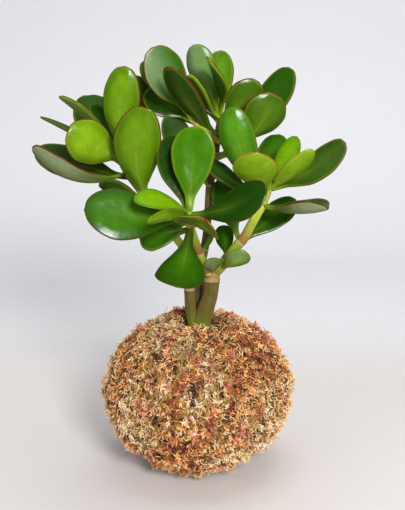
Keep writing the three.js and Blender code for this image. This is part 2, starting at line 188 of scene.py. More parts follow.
class Skin:
    """Gathers points, faces and named values, and turns them into a smooth mesh object."""

    def __init__(self) -> None:
        """Start with nothing."""
        self.points: list[np.ndarray] = []
        self.faces: list[np.ndarray] = []
        self.values: dict[str, list[np.ndarray]] = {}
        self.count = 0

    def add(self, points: np.ndarray, faces: Iterable[np.ndarray], **values: np.ndarray) -> None:
        """Add one closed form.

        Args:
            points: its points in millimetres.
            faces: arrays of corner numbers, each with its own number of corners, from 0.
            **values: three numbers for each point, by attribute name.
        """
        self.points.append(points)
        self.faces.extend(np.asarray(block) + self.count for block in faces)
        for name, rows in values.items():
            self.values.setdefault(name, []).append(np.broadcast_to(rows, (len(points), 3)))
        self.count += len(points)

    def build(self, name: str, material: bpy.types.Material) -> bpy.types.Object:
        """Make the object.

        Args:
            name: the name of the piece.
            material: its material.

        Returns:
            The object, linked to the scene, with smooth shading.
        """
        corners = np.concatenate([block.ravel() for block in self.faces])
        sizes = np.concatenate([np.full(len(block), block.shape[1]) for block in self.faces])
        starts = np.concatenate([[0], np.cumsum(sizes)[:-1]])
        mesh = bpy.data.meshes.new(name)
        mesh.vertices.add(self.count)
        mesh.vertices.foreach_set("co", (np.concatenate(self.points) * MM).astype(np.float32).ravel())
        mesh.loops.add(len(corners))
        mesh.loops.foreach_set("vertex_index", corners.astype(np.int32))
        mesh.polygons.add(len(sizes))
        mesh.polygons.foreach_set("loop_start", starts.astype(np.int32))
        mesh.update(calc_edges=True)
        mesh.polygons.foreach_set("use_smooth", np.ones(len(sizes), bool))
        for label, rows in self.values.items():
            attribute = mesh.attributes.new(label, "FLOAT_VECTOR", "POINT")
            attribute.data.foreach_set("vector", np.concatenate(rows).astype(np.float32).ravel())
        mesh.validate()
        mesh.materials.append(material)
        made = bpy.data.objects.new(name, mesh)
        bpy.context.scene.collection.objects.link(made)
        return made


def seat(piece: bpy.types.Object, slot: str, *nodes: str) -> None:
    """Let a piece ride on the plant and stand for solids, and log the name of its slot.

    Args:
        piece: the object.
        slot: the name of its material slot, which is only logged.
        *nodes: the solids that it stands for.
    """
    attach(piece, "root")
    if nodes:
        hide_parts(*nodes)
    LOG.info("%s: %d faces, slot %s, stands for %s", piece.name, len(piece.data.polygons), slot, nodes)


# ---------------------------------------------------------------- shader helpers


class Value:
    """An output of a shader node, joined to others by plain signs."""

    def __init__(self, graph: "Graph", socket: Socket) -> None:
        """Keep the output and the graph that it is in."""
        self.graph, self.socket = graph, socket

    def __add__(self, other: object) -> "Value":
        """Add a value."""
        return self.graph.math("ADD", self, other)

    def __sub__(self, other: object) -> "Value":
        """Take a value away."""
        return self.graph.math("SUBTRACT", self, other)

    def __rsub__(self, other: object) -> "Value":
        """Take this away from a number."""
        return self.graph.math("SUBTRACT", other, self)

    def __mul__(self, other: object) -> "Value":
        """Multiply by a value."""
        return self.graph.math("MULTIPLY", self, other)

    def __abs__(self) -> "Value":
        """Drop the sign."""
        return self.graph.math("ABSOLUTE", self)

    def scaled(self, factor: object, plus: object) -> "Value":
        """Multiply by a factor and add a value."""
        return self.graph.math("MULTIPLY_ADD", self, factor, plus)

    def step(self, low: float, high: float, start: float = 0, end: float = 1) -> "Value":
        """Turn what lies between low and high smoothly into a value between start and end."""
        inputs = dict(enumerate((self, low, high, start, end)))
        return self.graph.run("ShaderNodeMapRange", inputs, interpolation_type="SMOOTHSTEP")


class Graph:
    """Short ways to add and join shader nodes in one node tree."""

    def __init__(self, tree: bpy.types.NodeTree) -> None:
        """Keep the tree."""
        self.tree = tree

    def add(self, kind: str, **settings: object) -> bpy.types.Node:
        """Add a node.

        Args:
            kind: the kind of node.
            **settings: properties of the node.

        Returns:
            The node.
        """
        node = self.tree.nodes.new(kind)
        for name, value in settings.items():
            setattr(node, name, value)
        return node

    def feed(self, socket: Socket, value: object) -> None:
        """Link an input to a value of the graph, or set it to a plain number or colour.

        Args:
            socket: the input.
            value: what it takes.
        """
        if isinstance(value, Value):
            self.tree.links.new(value.socket, socket)
        elif isinstance(value, tuple) and socket.type == "RGBA":
            socket.default_value = (*value, 1)
        else:
            socket.default_value = value

    def run(
        self, kind: str, inputs: dict[int | str, object], out: int | str = 0, **settings: object
    ) -> Value:
        """Add a node, feed it and take one of its outputs.

        Args:
            kind: the kind of node.
            inputs: values by the number or the name of the input.
            out: the number or the name of the output.
            **settings: properties of the node.

        Returns:
            The output.
        """
        node = self.add(kind, **settings)
        for name, value in inputs.items():
            self.feed(node.inputs[name], value)
        return Value(self, node.outputs[out])

    def math(self, operation: str, *values: object, clamp: bool = False) -> Value:
        """Join values by one sum."""
        return self.run("ShaderNodeMath", dict(enumerate(values)), operation=operation, use_clamp=clamp)

    def mix(self, share: object, first: object, second: object, blend: str = "MIX") -> Value:
        """Mix two colours."""
        inputs = {0: share, 6: first, 7: second}
        return self.run("ShaderNodeMix", inputs, 2, data_type="RGBA", blend_type=blend)

    def layers(self, colour: object, *layers: tuple[object, Colour]) -> Value:
        """Lay colours over a first one, each by its own share."""
        for share, over in layers:
            colour = self.mix(share, colour, over)
        return colour

    def noise(self, vector: Value, scale: object, detail: float = 2, distortion: float = 0) -> Value:
        """Read soft noise at a place."""
        inputs = {"Vector": vector, "Scale": scale, "Detail": detail, "Distortion": distortion}
        return self.run("ShaderNodeTexNoise", inputs)

    def stretched(self, vector: Value, factors: object) -> Value:
        """Multiply a place by three factors."""
        return self.run("ShaderNodeVectorMath", {0: vector, 1: factors}, operation="MULTIPLY")

    def parts(self, vector: Value) -> list[Value]:
        """Part a vector into its three numbers."""
        node = self.add("ShaderNodeSeparateXYZ")
        self.feed(node.inputs[0], vector)
        return [Value(self, output) for output in node.outputs]

    def attribute(self, name: str, out: str = "Vector") -> Value:
        """Read a named value of the mesh as a vector or a colour."""
        return self.run("ShaderNodeAttribute", {}, out, attribute_name=name)

    def place(self) -> Value:
        """Read the place on the object in metres."""
        return self.run("ShaderNodeTexCoord", {}, "Object")

    def group(self, tree: bpy.types.NodeTree, **values: object) -> dict[str, Value]:
        """Place a shared group.

        Args:
            tree: the group.
            **values: what its inputs take, by name.

        Returns:
            Its outputs by name.
        """
        node = self.add("ShaderNodeGroup", node_tree=tree)
        for name, value in values.items():
            self.feed(node.inputs[name], value)
        return {output.name: Value(self, output) for output in node.outputs}


class Group(Graph):
    """A shared shader group with named inputs and outputs."""

    def __init__(self, name: str, **inputs: str) -> None:
        """Start a group.

        Args:
            name: its name.
            **inputs: the kind of each input, by name.
        """
        super().__init__(bpy.data.node_groups.new(name, "ShaderNodeTree"))
        for label, kind in inputs.items():
            self.tree.interface.new_socket(label, in_out="INPUT", socket_type=f"NodeSocket{kind}")
        source = self.add("NodeGroupInput")
        self.given = [Value(self, source.outputs[label]) for label in inputs]

    def give(self, **outputs: Value) -> bpy.types.NodeTree:
        """End the group with outputs: a colour where it is called Color, otherwise a number.

        Args:
            **outputs: the values by name.

        Returns:
            The finished group.
        """
        for label in outputs:
            kind = "Color" if label == "Color" else "Float"
            self.tree.interface.new_socket(label, in_out="OUTPUT", socket_type=f"NodeSocket{kind}")
        end = self.add("NodeGroupOutput")
        for label, value in outputs.items():
            self.feed(end.inputs[label], value)
        return self.tree


class Effects:
    """The shader groups that several finishes share, each built once."""

    def __init__(self) -> None:
        """Build the groups."""
        self.mottle, self.specks = self._mottle(), self._specks()
        self.grain, self.moss = self._grain(), self._moss()

    @staticmethod
    def _mottle() -> bpy.types.NodeTree:
        """Uneven colour: broad clouds and fine flecks that make a colour lighter and darker.

        Returns:
            The group.
        """
        group = Group("mottle", Vector="Vector", Color="Color", Scale="Float", Clouds="Float", Flecks="Float")
        vector, colour, scale, cloudiness, fleckiness = group.given
        clouds = group.noise(vector, scale, 3)
        flecks = group.noise(vector, scale * 9, 2)
        light = (clouds - 0.5) * cloudiness + (flecks - 0.5) * fleckiness + 1
        grey = group.run("ShaderNodeCombineColor", dict.fromkeys(range(3), light))
        return group.give(Color=group.mix(1.0, colour, grey, "MULTIPLY"), Mask=clouds)

    @staticmethod
    def _specks() -> bpy.types.NodeTree:
        """Scattered small round spots.

        Returns:
            The group.
        """
        group = Group("specks", Vector="Vector", Scale="Float", Size="Float")
        vector, scale, size = group.given
        near = group.run("ShaderNodeTexVoronoi", {"Vector": vector, "Scale": scale})
        rare = group.noise(vector, scale * 0.5).step(0.45, 0.6)
        spot = group.math("SUBTRACT", 1, group.math("DIVIDE", near, size), clamp=True)
        return group.give(Mask=spot * rare)

    @staticmethod
    def _grain() -> bpy.types.NodeTree:
        """Fine lines that run along the third direction of a place.

        Returns:
            The group.
        """
        group = Group("grain", Vector="Vector", Scale="Float", Stretch="Vector")
        vector, scale, stretch = group.given
        drawn = group.stretched(vector, stretch)
        lines = group.noise(drawn, scale, 3, 0.4)
        thin = group.noise(drawn, scale * 3.1, 2)
        return group.give(Mask=lines.step(0.38, 0.62), Height=lines * 0.7 + thin * 0.3)

    @staticmethod
    def _moss() -> bpy.types.NodeTree:
        """Dry moss by place: rust to cream in clumps, with pink and olive patches.

        Returns:
            The group.
        """
        tones = dict.fromkeys(("Rust", "Tan", "Straw", "Cream", "Pink", "Olive"), "Color")
        group = Group("moss_tint", Vector="Vector", Own="Float", **tones)
        place, own, rust, tan, straw, cream, pink, olive = group.given
        broad, patch, clump = (group.noise(place, *fine) - 0.5 for fine in ((32, 1), (115, 2), (300, 2)))
        mood = broad.scaled(1.2, patch).scaled(1.8, clump * 1.1) + own.scaled(0.7, 0.22)
        redness = own.scaled(0.08, group.noise(place, 130, 3))
        shifted = group.stretched(place, (-1.3, 1.1, 0.9))
        return group.give(Color=group.layers(
            rust, (mood.step(0.0, 0.26), tan), (mood.step(0.26, 0.5), straw), (mood.step(0.66, 0.95), cream),
            (redness.step(0.57, 0.65, 0, 0.7), pink),
            (group.noise(shifted, 70, 2).step(0.58, 0.68, 0, 0.28), olive)))


# ---------------------------------------------------------------- finishes


class Surface(Graph):
    """The node tree of one material, with its surface shader and the shared groups."""

    def __init__(self, name: str, effects: Effects, **constants: float) -> None:
        """Start a material.

        Args:
            name: its name.
            effects: the shared groups.
            **constants: plain values of the shader, by input name with _ for a space.
        """
        self.material, self.effects = bpy.data.materials.new(name), effects
        self.material.use_nodes = True
        super().__init__(self.material.node_tree)
        self.tree.nodes.clear()
        shader, out = self.add("ShaderNodeBsdfPrincipled"), self.add("ShaderNodeOutputMaterial")
        self.tree.links.new(shader.outputs[0], out.inputs["Surface"])
        self.inputs = shader.inputs
        for label, value in constants.items():
            self.inputs[label.replace("_", " ")].default_value = value

    def mottled(
        self, vector: Value, colour: object, scale: float, clouds: float, flecks: float
    ) -> dict[str, Value]:
        """Place the group of uneven colour: its size, its broad clouds and its fine flecks."""
        amounts = {"Scale": scale, "Clouds": clouds, "Flecks": flecks}
        return self.group(self.effects.mottle, Vector=vector, Color=colour, **amounts)

    def specked(self, vector: Value, scale: float, size: float) -> Value:
        """Place the group of scattered spots."""
        return self.group(self.effects.specks, Vector=vector, Scale=scale, Size=size)["Mask"]

    def lined(self, vector: Value, scale: float, stretch: float) -> dict[str, Value]:
        """Place the group of fine lines, drawn out along the third direction."""
        return self.group(self.effects.grain, Vector=vector, Scale=scale, Stretch=(1.0, 1.0, stretch))

    def wear(self, colour: object, rough: object = None, relief: tuple[Value, float, float] = ()) -> None:
        """Give the surface its colour and, where there are such, its roughness and relief.

        Args:
            colour: the base colour.
            rough: the roughness.
            relief: a height, how strongly it shows and its reach in millimetres.
        """
        self.feed(self.inputs["Base Color"], colour)
        if rough is not None:
            self.feed(self.inputs["Roughness"], rough)
        if relief:
            inputs = {"Height": relief[0], "Strength": relief[1], "Distance": relief[2] * MM}
            self.feed(self.inputs["Normal"], self.run("ShaderNodeBump", inputs))


@dataclass(frozen=True)
class Finish:
    """What every finish shares: a name and constant values of its surface."""

    name: str
    matt: float = 0.5
    coat: float = 0.0
    coat_matt: float = 0.2
    shine: float = 0.5

    def material(self, effects: Effects) -> bpy.types.Material:
        """Build the material.

        Args:
            effects: the shared groups.

        Returns:
            The material.
        """
        on = Surface(self.name, effects, Roughness=self.matt, Coat_Weight=self.coat,
                     Coat_Roughness=self.coat_matt, Specular_IOR_Level=self.shine)
        self.dress(on)
        return on.material

    def dress(self, on: Surface) -> None:
        """Colour a surface; each finish has its own way."""
        raise NotImplementedError


@dataclass(frozen=True)
class LeafSkin(Finish):
    """Waxy leaf: its own green, a pale vein, a yellow stalk and a red brown edge, with painted shade at the
    margin, painted light on the midrib and a painted grey sheen.
    """

    stalk: Colour = srgb(150, 178, 48)
    vein: Colour = srgb(176, 196, 92)
    shade: Colour = srgb(30, 62, 6)
    rim: Colour = srgb(98, 38, 24)
    rim_glow: Colour = srgb(146, 174, 32)
    bloom: Colour = srgb(172, 186, 152)
    rim_width: float = 0.6
    margin: float = 7.5
    vein_strength: float = 0.16
    vein_width: float = 0.9
    glow_width: float = 6.0
    stalk_reach: Span = (0.24, 0.02)
    vein_reach: Span = (0.92, 0.2)
    bloom_across: Span = (-12.0, 5.0)
    bloom_along: Span = (0.15, 0.75)
    rim_along: Span = (0.22, 0.5)

    def dress(self, on: Surface) -> None:
        """Lay stalk, vein, painted midrib light, painted margin shade, painted sheen and edge over the leaf's
        own green.

        Args:
            on: the material's node tree.
        """
        # blade: millimetres across and along, and a number for the leaf; spot: share of the
        # length, millimetres to the edge, 1 on the upper face; traits: painted sheen, rim, gold.
        blade = on.attribute("blade")
        across = on.parts(blade)[0]
        share, edge, upper = on.parts(on.attribute("spot"))
        bloom, rim, gold = on.parts(on.attribute("traits"))
        body = on.mottled(blade, on.attribute("tone", "Color"), 0.16, 0.55, 0.8)
        flecks = on.specked(blade, 1.1, 0.16)
        fading, under = share.step(*self.vein_reach), upper.step(1.0, 0.0, 0.45, 1.0)
        # Partly the paler midrib, partly painted light on the raised middle of the blade, stronger on the
        # under face.
        pale_lit_midrib = abs(across).step(self.glow_width, 0.0, 0, 0.22) * (fading * under)
        vein = abs(across).step(self.vein_width, 0.0) * fading * (under * self.vein_strength)
        # Painted shade: the blade darkens towards its edge, where the rounded leaf turns away from the light;
        # gold leaves are spared.
        margin = edge.step(self.margin, 0.0, 0, 0.7) * (1 - gold)
        # Painted sheen: a grey veil on one side of the blade that stands in for bright light reflected off
        # the waxy skin.
        side = across * on.math("SIGN", bloom)
        sheen_veil = abs(bloom) * side.step(*self.bloom_across) * share.step(*self.bloom_along)
        sheen_veil = sheen_veil * on.noise(blade, 0.4, 3).step(0.3, 0.7, 0.85, 1.0)
        inward = edge - on.noise(blade, 0.35, 2).scaled(0.6, self.rim_width - 0.3)
        golden = inward.step(1.5, 0.0) * (gold * 0.7)
        red = inward.step(0.2, -0.2) * rim * share.step(*self.rim_along)
        colour = on.layers(
            body["Color"], (flecks * 0.08, self.vein), (share.step(*self.stalk_reach) * 0.85, self.stalk),
            (pale_lit_midrib, self.stalk), (vein, self.vein), (margin, self.shade), (sheen_veil, self.bloom),
            (golden, self.rim_glow), (red, self.rim))
        pores = on.noise(blade, 1.6, 3) * 0.22
        height = on.noise(blade, 0.16, 1).scaled(2.0, pores) + edge.step(0.0, 7.0, 0, 5.0)
        rough = sheen_veil.scaled(0.2, body["Mask"].scaled(0.16, self.matt - 0.08))
        on.wear(colour, rough, (height, 0.45, 0.3))


@dataclass(frozen=True, kw_only=True)
class Rind(Finish):
    """Stem skin: streaks between two colours, rust above each joint, pale rings, a green foot.

    A collar at the top of a stem and the buds at its tip have colours of their own; the flanks of
    the trunks, where they face left and right, get a painted highlight. The foot reaches up to the
    height foot_top.
    """

    ground: Colour
    streak: Colour
    rust: Colour
    ring: Colour
    foot: Colour
    foot_top: float
    lines: float
    depth: float
    rust_reach: float = 0.7
    foot_fade: float = 16.0
    collar: Colour = srgb(162, 128, 74)
    bud: Colour = srgb(122, 148, 44)
    flank: Colour = srgb(138, 104, 60)
    flanks: float = 0.0
    flank_facing: Span = (0.35, 0.95)
    ring_reach: Span = (0.9, 0.3)

    def dress(self, on: Surface) -> None:
        """Lay the painted highlight on the flanks, rust, collar, foot, buds and rings over the streaks.

        Args:
            on: the material's node tree.
        """
        # grain: millimetres round and along the stem; joint: distance to the nearest joint, share
        # of the way to the next one or less than 0 on a bud, strength of the rust or -1 on a collar.
        grain = on.attribute("grain")
        ring, share, rust = on.parts(on.attribute("joint"))
        lines = on.lined(grain, self.lines, 0.09)
        body = on.mottled(grain, on.mix(lines["Mask"], self.ground, self.streak), 0.25, 0.7, 0.5)
        colour = body["Color"]
        # Painted highlight: where the world normal points left or right, the trunk's sides turn a lighter
        # tan, as if lit.
        if self.flanks:
            facing = on.parts(on.run("ShaderNodeNewGeometry", {}, "Normal"))[0]
            colour = on.mix(abs(facing).step(*self.flank_facing, 0, self.flanks), colour, self.flank)
        worn = on.math("MULTIPLY", share.step(self.rust_reach, 0.0), rust, clamp=True)
        low = on.parts(on.place())[2].step(self.foot_top * MM, (self.foot_top - self.foot_fade) * MM)
        low = low * lines["Mask"].step(0.0, 1.0, 0.4, 0.9)
        pale = ring.step(*self.ring_reach) * body["Mask"].step(0.3, 0.6, 0.4, 0.9)
        colour = on.layers(
            colour, (worn, self.rust), (rust.step(0.0, -1.0, 0, 0.75), self.collar), (low, self.foot),
            (share.step(-0.2, -0.8, 0, 0.85), self.bud), (on.specked(grain, 1.4, 0.22) * 0.35, self.ring),
            (pale, self.ring))
        on.wear(colour, lines["Mask"].scaled(0.15, self.matt - 0.07), (lines["Height"], self.depth, 0.5))


@dataclass(frozen=True)
class MossTint:
    """The colours of dry moss."""

    rust: Colour = srgb(172, 84, 44)
    tan: Colour = srgb(238, 154, 80)
    straw: Colour = srgb(255, 207, 128)
    cream: Colour = srgb(255, 240, 198)
    pink: Colour = srgb(218, 104, 88)
    olive: Colour = srgb(190, 150, 62)

    def lay(self, on: Surface, own: Value) -> Value:
        """Colour the moss by its place and by a number of its own."""
        place = on.stretched(on.place(), (1.0, 1.0, 0.65))
        tones = {name.title(): tone for name, tone in asdict(self).items()}
        return on.group(on.effects.moss, Vector=place, Own=own, **tones)["Color"]


@dataclass(frozen=True)
class MossFibre(Finish):
    """Dry moss strands with painted shade, warm brown then dark, where they lie deep, and paler towards the
    tips.
    """

    tint: MossTint = MossTint()
    amber: Colour = srgb(216, 120, 40)
    dark: Colour = srgb(52, 21, 5)
    pale: Colour = srgb(255, 233, 182)

    def dress(self, on: Surface) -> None:
        """Lay painted warm and dark shade where strands lie deep, and pale tips, over the moss.

        Args:
            on: the material's node tree.
        """
        # strand: a number of its own, share of its length, height over the mean surface.
        own, share, height = on.parts(on.attribute("strand"))
        body = on.mottled(on.place(), self.tint.lay(on, own), 500.0, 0.8, 0.4)
        # Painted shade: strands below the mean surface turn warm brown, and deeper ones the colour dark.
        on.wear(on.layers(
            body["Color"], (height.step(0.6, -1.6, 0, 0.35), self.amber),
            (height.step(-0.5, -2.9, 0, 0.97), self.dark), (share.step(0.5, 1.0, 0, 0.5), self.pale)))


@dataclass(frozen=True)
class MossBed(Finish):
    """The matted moss under the strands: curled fibres in three layers over painted shade in the hollows."""

    tint: MossTint = MossTint(tan=srgb(206, 122, 50), straw=srgb(226, 160, 80), cream=srgb(238, 190, 118))
    hollow: Colour = srgb(58, 26, 6)
    fibres: tuple[Span, ...] = ((330, 0.05), (470, 0.05), (620, 0.045))

    def dress(self, on: Surface) -> None:
        """Lay the fibres over the painted shade of the hollows, each layer with its scale and half width.

        Args:
            on: the material's node tree.
        """
        place = on.place()
        knots = on.noise(place, 300, 3, 1.0)
        # Painted shade: the gaps between the fibres start as the dark shade colour.
        colour, height = self.hollow, knots * 0.6
        for scale, reach in self.fibres:
            waves = on.noise(on.stretched(place, (1.0, -1.0, 1.2)), scale, 2, 1.2)
            line = abs(waves - 0.5).step(reach, reach * 0.3)
            colour = on.mix(line, colour, self.tint.lay(on, knots.scaled(2.0, -0.6)))
            height = height + line * 0.5
        # lumps: how far the clump rises; where it sinks, the creases take the painted shade.
        lump = on.parts(on.attribute("lumps"))[2]
        body = on.mottled(place, colour, 180.0, 1.2, 0.4)
        colour = on.mix(lump.step(0.1, -1.2, 0, 0.95), body["Color"], self.hollow)
        on.wear(colour, relief=(height, 0.9, 0.8))


@dataclass(frozen=True)
class Earth(Finish):
    """Damp soil: dark crumbs with a few pale grains."""

    crumb: Colour = srgb(58, 40, 26)
    shade: Colour = srgb(24, 16, 10)
    grit: Colour = srgb(150, 138, 118)

    def dress(self, on: Surface) -> None:
        """Lay crumbs and grit over the shade between them.

        Args:
            on: the material's node tree.
        """
        crumbs = on.noise(on.place(), 300, 4)
        grit = on.specked(on.place(), 180.0, 0.25)
        colour = on.layers(self.shade, (crumbs.step(0.4, 0.6), self.crumb), (grit, self.grit))
        on.wear(colour, relief=(crumbs, 0.9, 1.5))


@dataclass(frozen=True)
class Husk(Finish):
    """Smooth small bud: pink, paler in places."""

    pink: Colour = srgb(214, 128, 130)
    pale: Colour = srgb(240, 190, 176)

    def dress(self, on: Surface) -> None:
        """Mix the two tones by place.

        Args:
            on: the material's node tree.
        """
        tone = on.mix(on.noise(on.place(), 500, 2).step(0.45, 0.65), self.pink, self.pale)
        on.wear(on.mottled(on.place(), tone, 600.0, 0.3, 0.2)["Color"])


@dataclass(frozen=True)
class Twine(Finish):
    """Thin natural thread: two tones of straw in fine fibres."""

    light: Colour = srgb(206, 178, 116)
    dark: Colour = srgb(150, 118, 66)

    def dress(self, on: Surface) -> None:
        """Mix the two tones along the fibres.

        Args:
            on: the material's node tree.
        """
        fibres = on.lined(on.place(), 1500.0, 0.3)
        on.wear(on.mix(fibres["Mask"], self.dark, self.light), relief=(fibres["Height"], 0.6, 0.2))


@dataclass(frozen=True)
class Paint(Finish):
    """Plain pale matt paint of the stage, nearly black where glossy surfaces mirror it."""

    backdrop: Colour = srgb(225, 225, 227)
    floor: Colour = srgb(221, 216, 213)
    bend: Colour = srgb(234, 234, 236)
    bend_reach: Span = (0.1, 0.34)
    backdrop_reach: Span = (0.1, 0.4)
    mirrored: float = 0.05

    def dress(self, on: Surface) -> None:
        """Blend the tones of the floor, the bend and the backdrop by place.

        Args:
            on: the material's node tree.
        """
        _, back, rise = on.parts(on.place())
        bend, backdrop = back.step(*self.bend_reach), rise.step(*self.backdrop_reach)
        tint = on.layers(self.floor, (bend, self.bend), (backdrop, self.backdrop))
        seen = on.run("ShaderNodeLightPath", {}, "Is Glossy Ray").scaled(self.mirrored - 1, 1)
        on.wear(on.mix(seen, (0.0, 0.0, 0.0), on.mottled(on.place(), tint, 9.0, 0.03, 0.02)["Color"]))


@dataclass
class Assembly:
    """What every sub-assembly shares: the shader groups that its finishes are made with."""

    effects: Effects


# ---------------------------------------------------------------- stems


@dataclass(frozen=True)
class StemSpec:
    """One stem: its centre line, radii, joints, length of its bud, rust and start of a collar.

    Joints and collar are shares of its length.
    """

    path: tuple[Point, ...]
    radii: tuple[float, ...]
    joints: tuple[float, ...]
    bud: float = 0.0
    rust: float = 0.0
    collar: float = 2.0

    @property
    def curve(self) -> Spline:
        """The centre line."""
        return Spline(self.path)


TRUNKS = {
    "trunk_right": StemSpec(
        ((1, 0, 62), (1, -1.5, 80), (1.6, -3.4, 92), (4.2, -5, 101), (7.4, -4.8, 111), (8.2, -4.5, 120),
         (8.1, -4.6, 126)),
        (2.2, 5, 5.6, 5.2, 4.7, 4.8, 4.1), (0.84,), collar=0.83),
    "trunk_left": StemSpec(
        ((-1.4, -1, 80), (-3.2, -2.4, 92), (-4.8, -3, 102), (-5.4, -3, 113), (-5.8, -2, 125),
         (-7.4, -1, 134.5)),
        (3.4, 3.8, 3.6, 3.3, 3.0, 2.6), (0.62,)),
    "trunk_centre": StemSpec(
        ((0.8, 1, 80), (0.3, 4.5, 93), (0.2, 8, 108), (2, 10, 127), (4.6, 11, 142), (5.8, 11, 158),
         (6.8, 11, 173), (9, 10, 189), (11, 9, 201), (12.4, 8, 212), (13.5, 7.6, 219)),
        (3.4, 3.2, 3.0, 2.7, 2.5, 2.4, 2.4, 2.3, 2.2, 2.0, 1.7), (0.36, 0.5, 0.62, 0.76, 0.86), rust=0.7),
}
SHOOTS = {
    "branch_left": StemSpec(
        ((-7.2, -1, 134), (-9.5, 0, 139.5), (-13.6, 1, 145.2), (-20.3, 2, 153), (-28, 2, 164.7),
         (-35.1, 2, 174.4), (-42, 3, 184), (-46.8, 4, 192.5), (-49, 4, 199)),
        (2.5, 2.5, 2.4, 2.3, 2.3, 2.3, 2.2, 2.0, 1.6), (0.04, 0.27, 0.53, 0.75), 3.4, 0.55),
    "branch_top": StemSpec(
        ((11.6, 8.4, 203), (8.4, 5, 206.2), (5, 2, 209.6), (0.4, 0, 212.8), (-3.8, -2, 216.4),
         (-6, -3, 220.5)),
        (1.9, 1.9, 1.8, 1.8, 1.7, 1.4), (0.05, 0.68), 3, 0.4),
    "branch_upper_right": StemSpec(
        ((10, 9.6, 193), (14.5, 6.5, 195), (20.5, 4, 196.8), (25.6, 3, 199), (28.4, 3, 203)),
        (2.2, 2.2, 2.1, 1.9, 1.5), (0.06, 0.6), 3, 0.4),
    "branch_right": StemSpec(
        ((8.6, -4.6, 124), (13.6, -5.6, 129), (18.4, -7, 135.7), (22.6, -8, 141.6), (27.5, -9, 147.6),
         (31.2, -10, 155.2), (36.3, -12, 165.7), (39.3, -13, 172.9), (41.6, -14, 178.6)),
        (3.2, 3.2, 3.1, 3.0, 3.1, 2.8, 2.8, 2.6, 2.0), (0.03, 0.2, 0.44, 0.78), 6.5, 0.85),
    "branch_front": StemSpec(
        ((6.4, -6.6, 124), (4.2, -10, 131), (1, -13.6, 138.3), (-1.5, -19.5, 147), (-3.8, -26.6, 155),
         (-5, -31.6, 161.4), (-5.2, -34.6, 167)),
        (2.5, 2.4, 2.4, 2.3, 2.3, 2.2, 1.7), (0.05, 0.35, 0.7), 5.5, 1.0),
}
STEMS = {**TRUNKS, **SHOOTS}


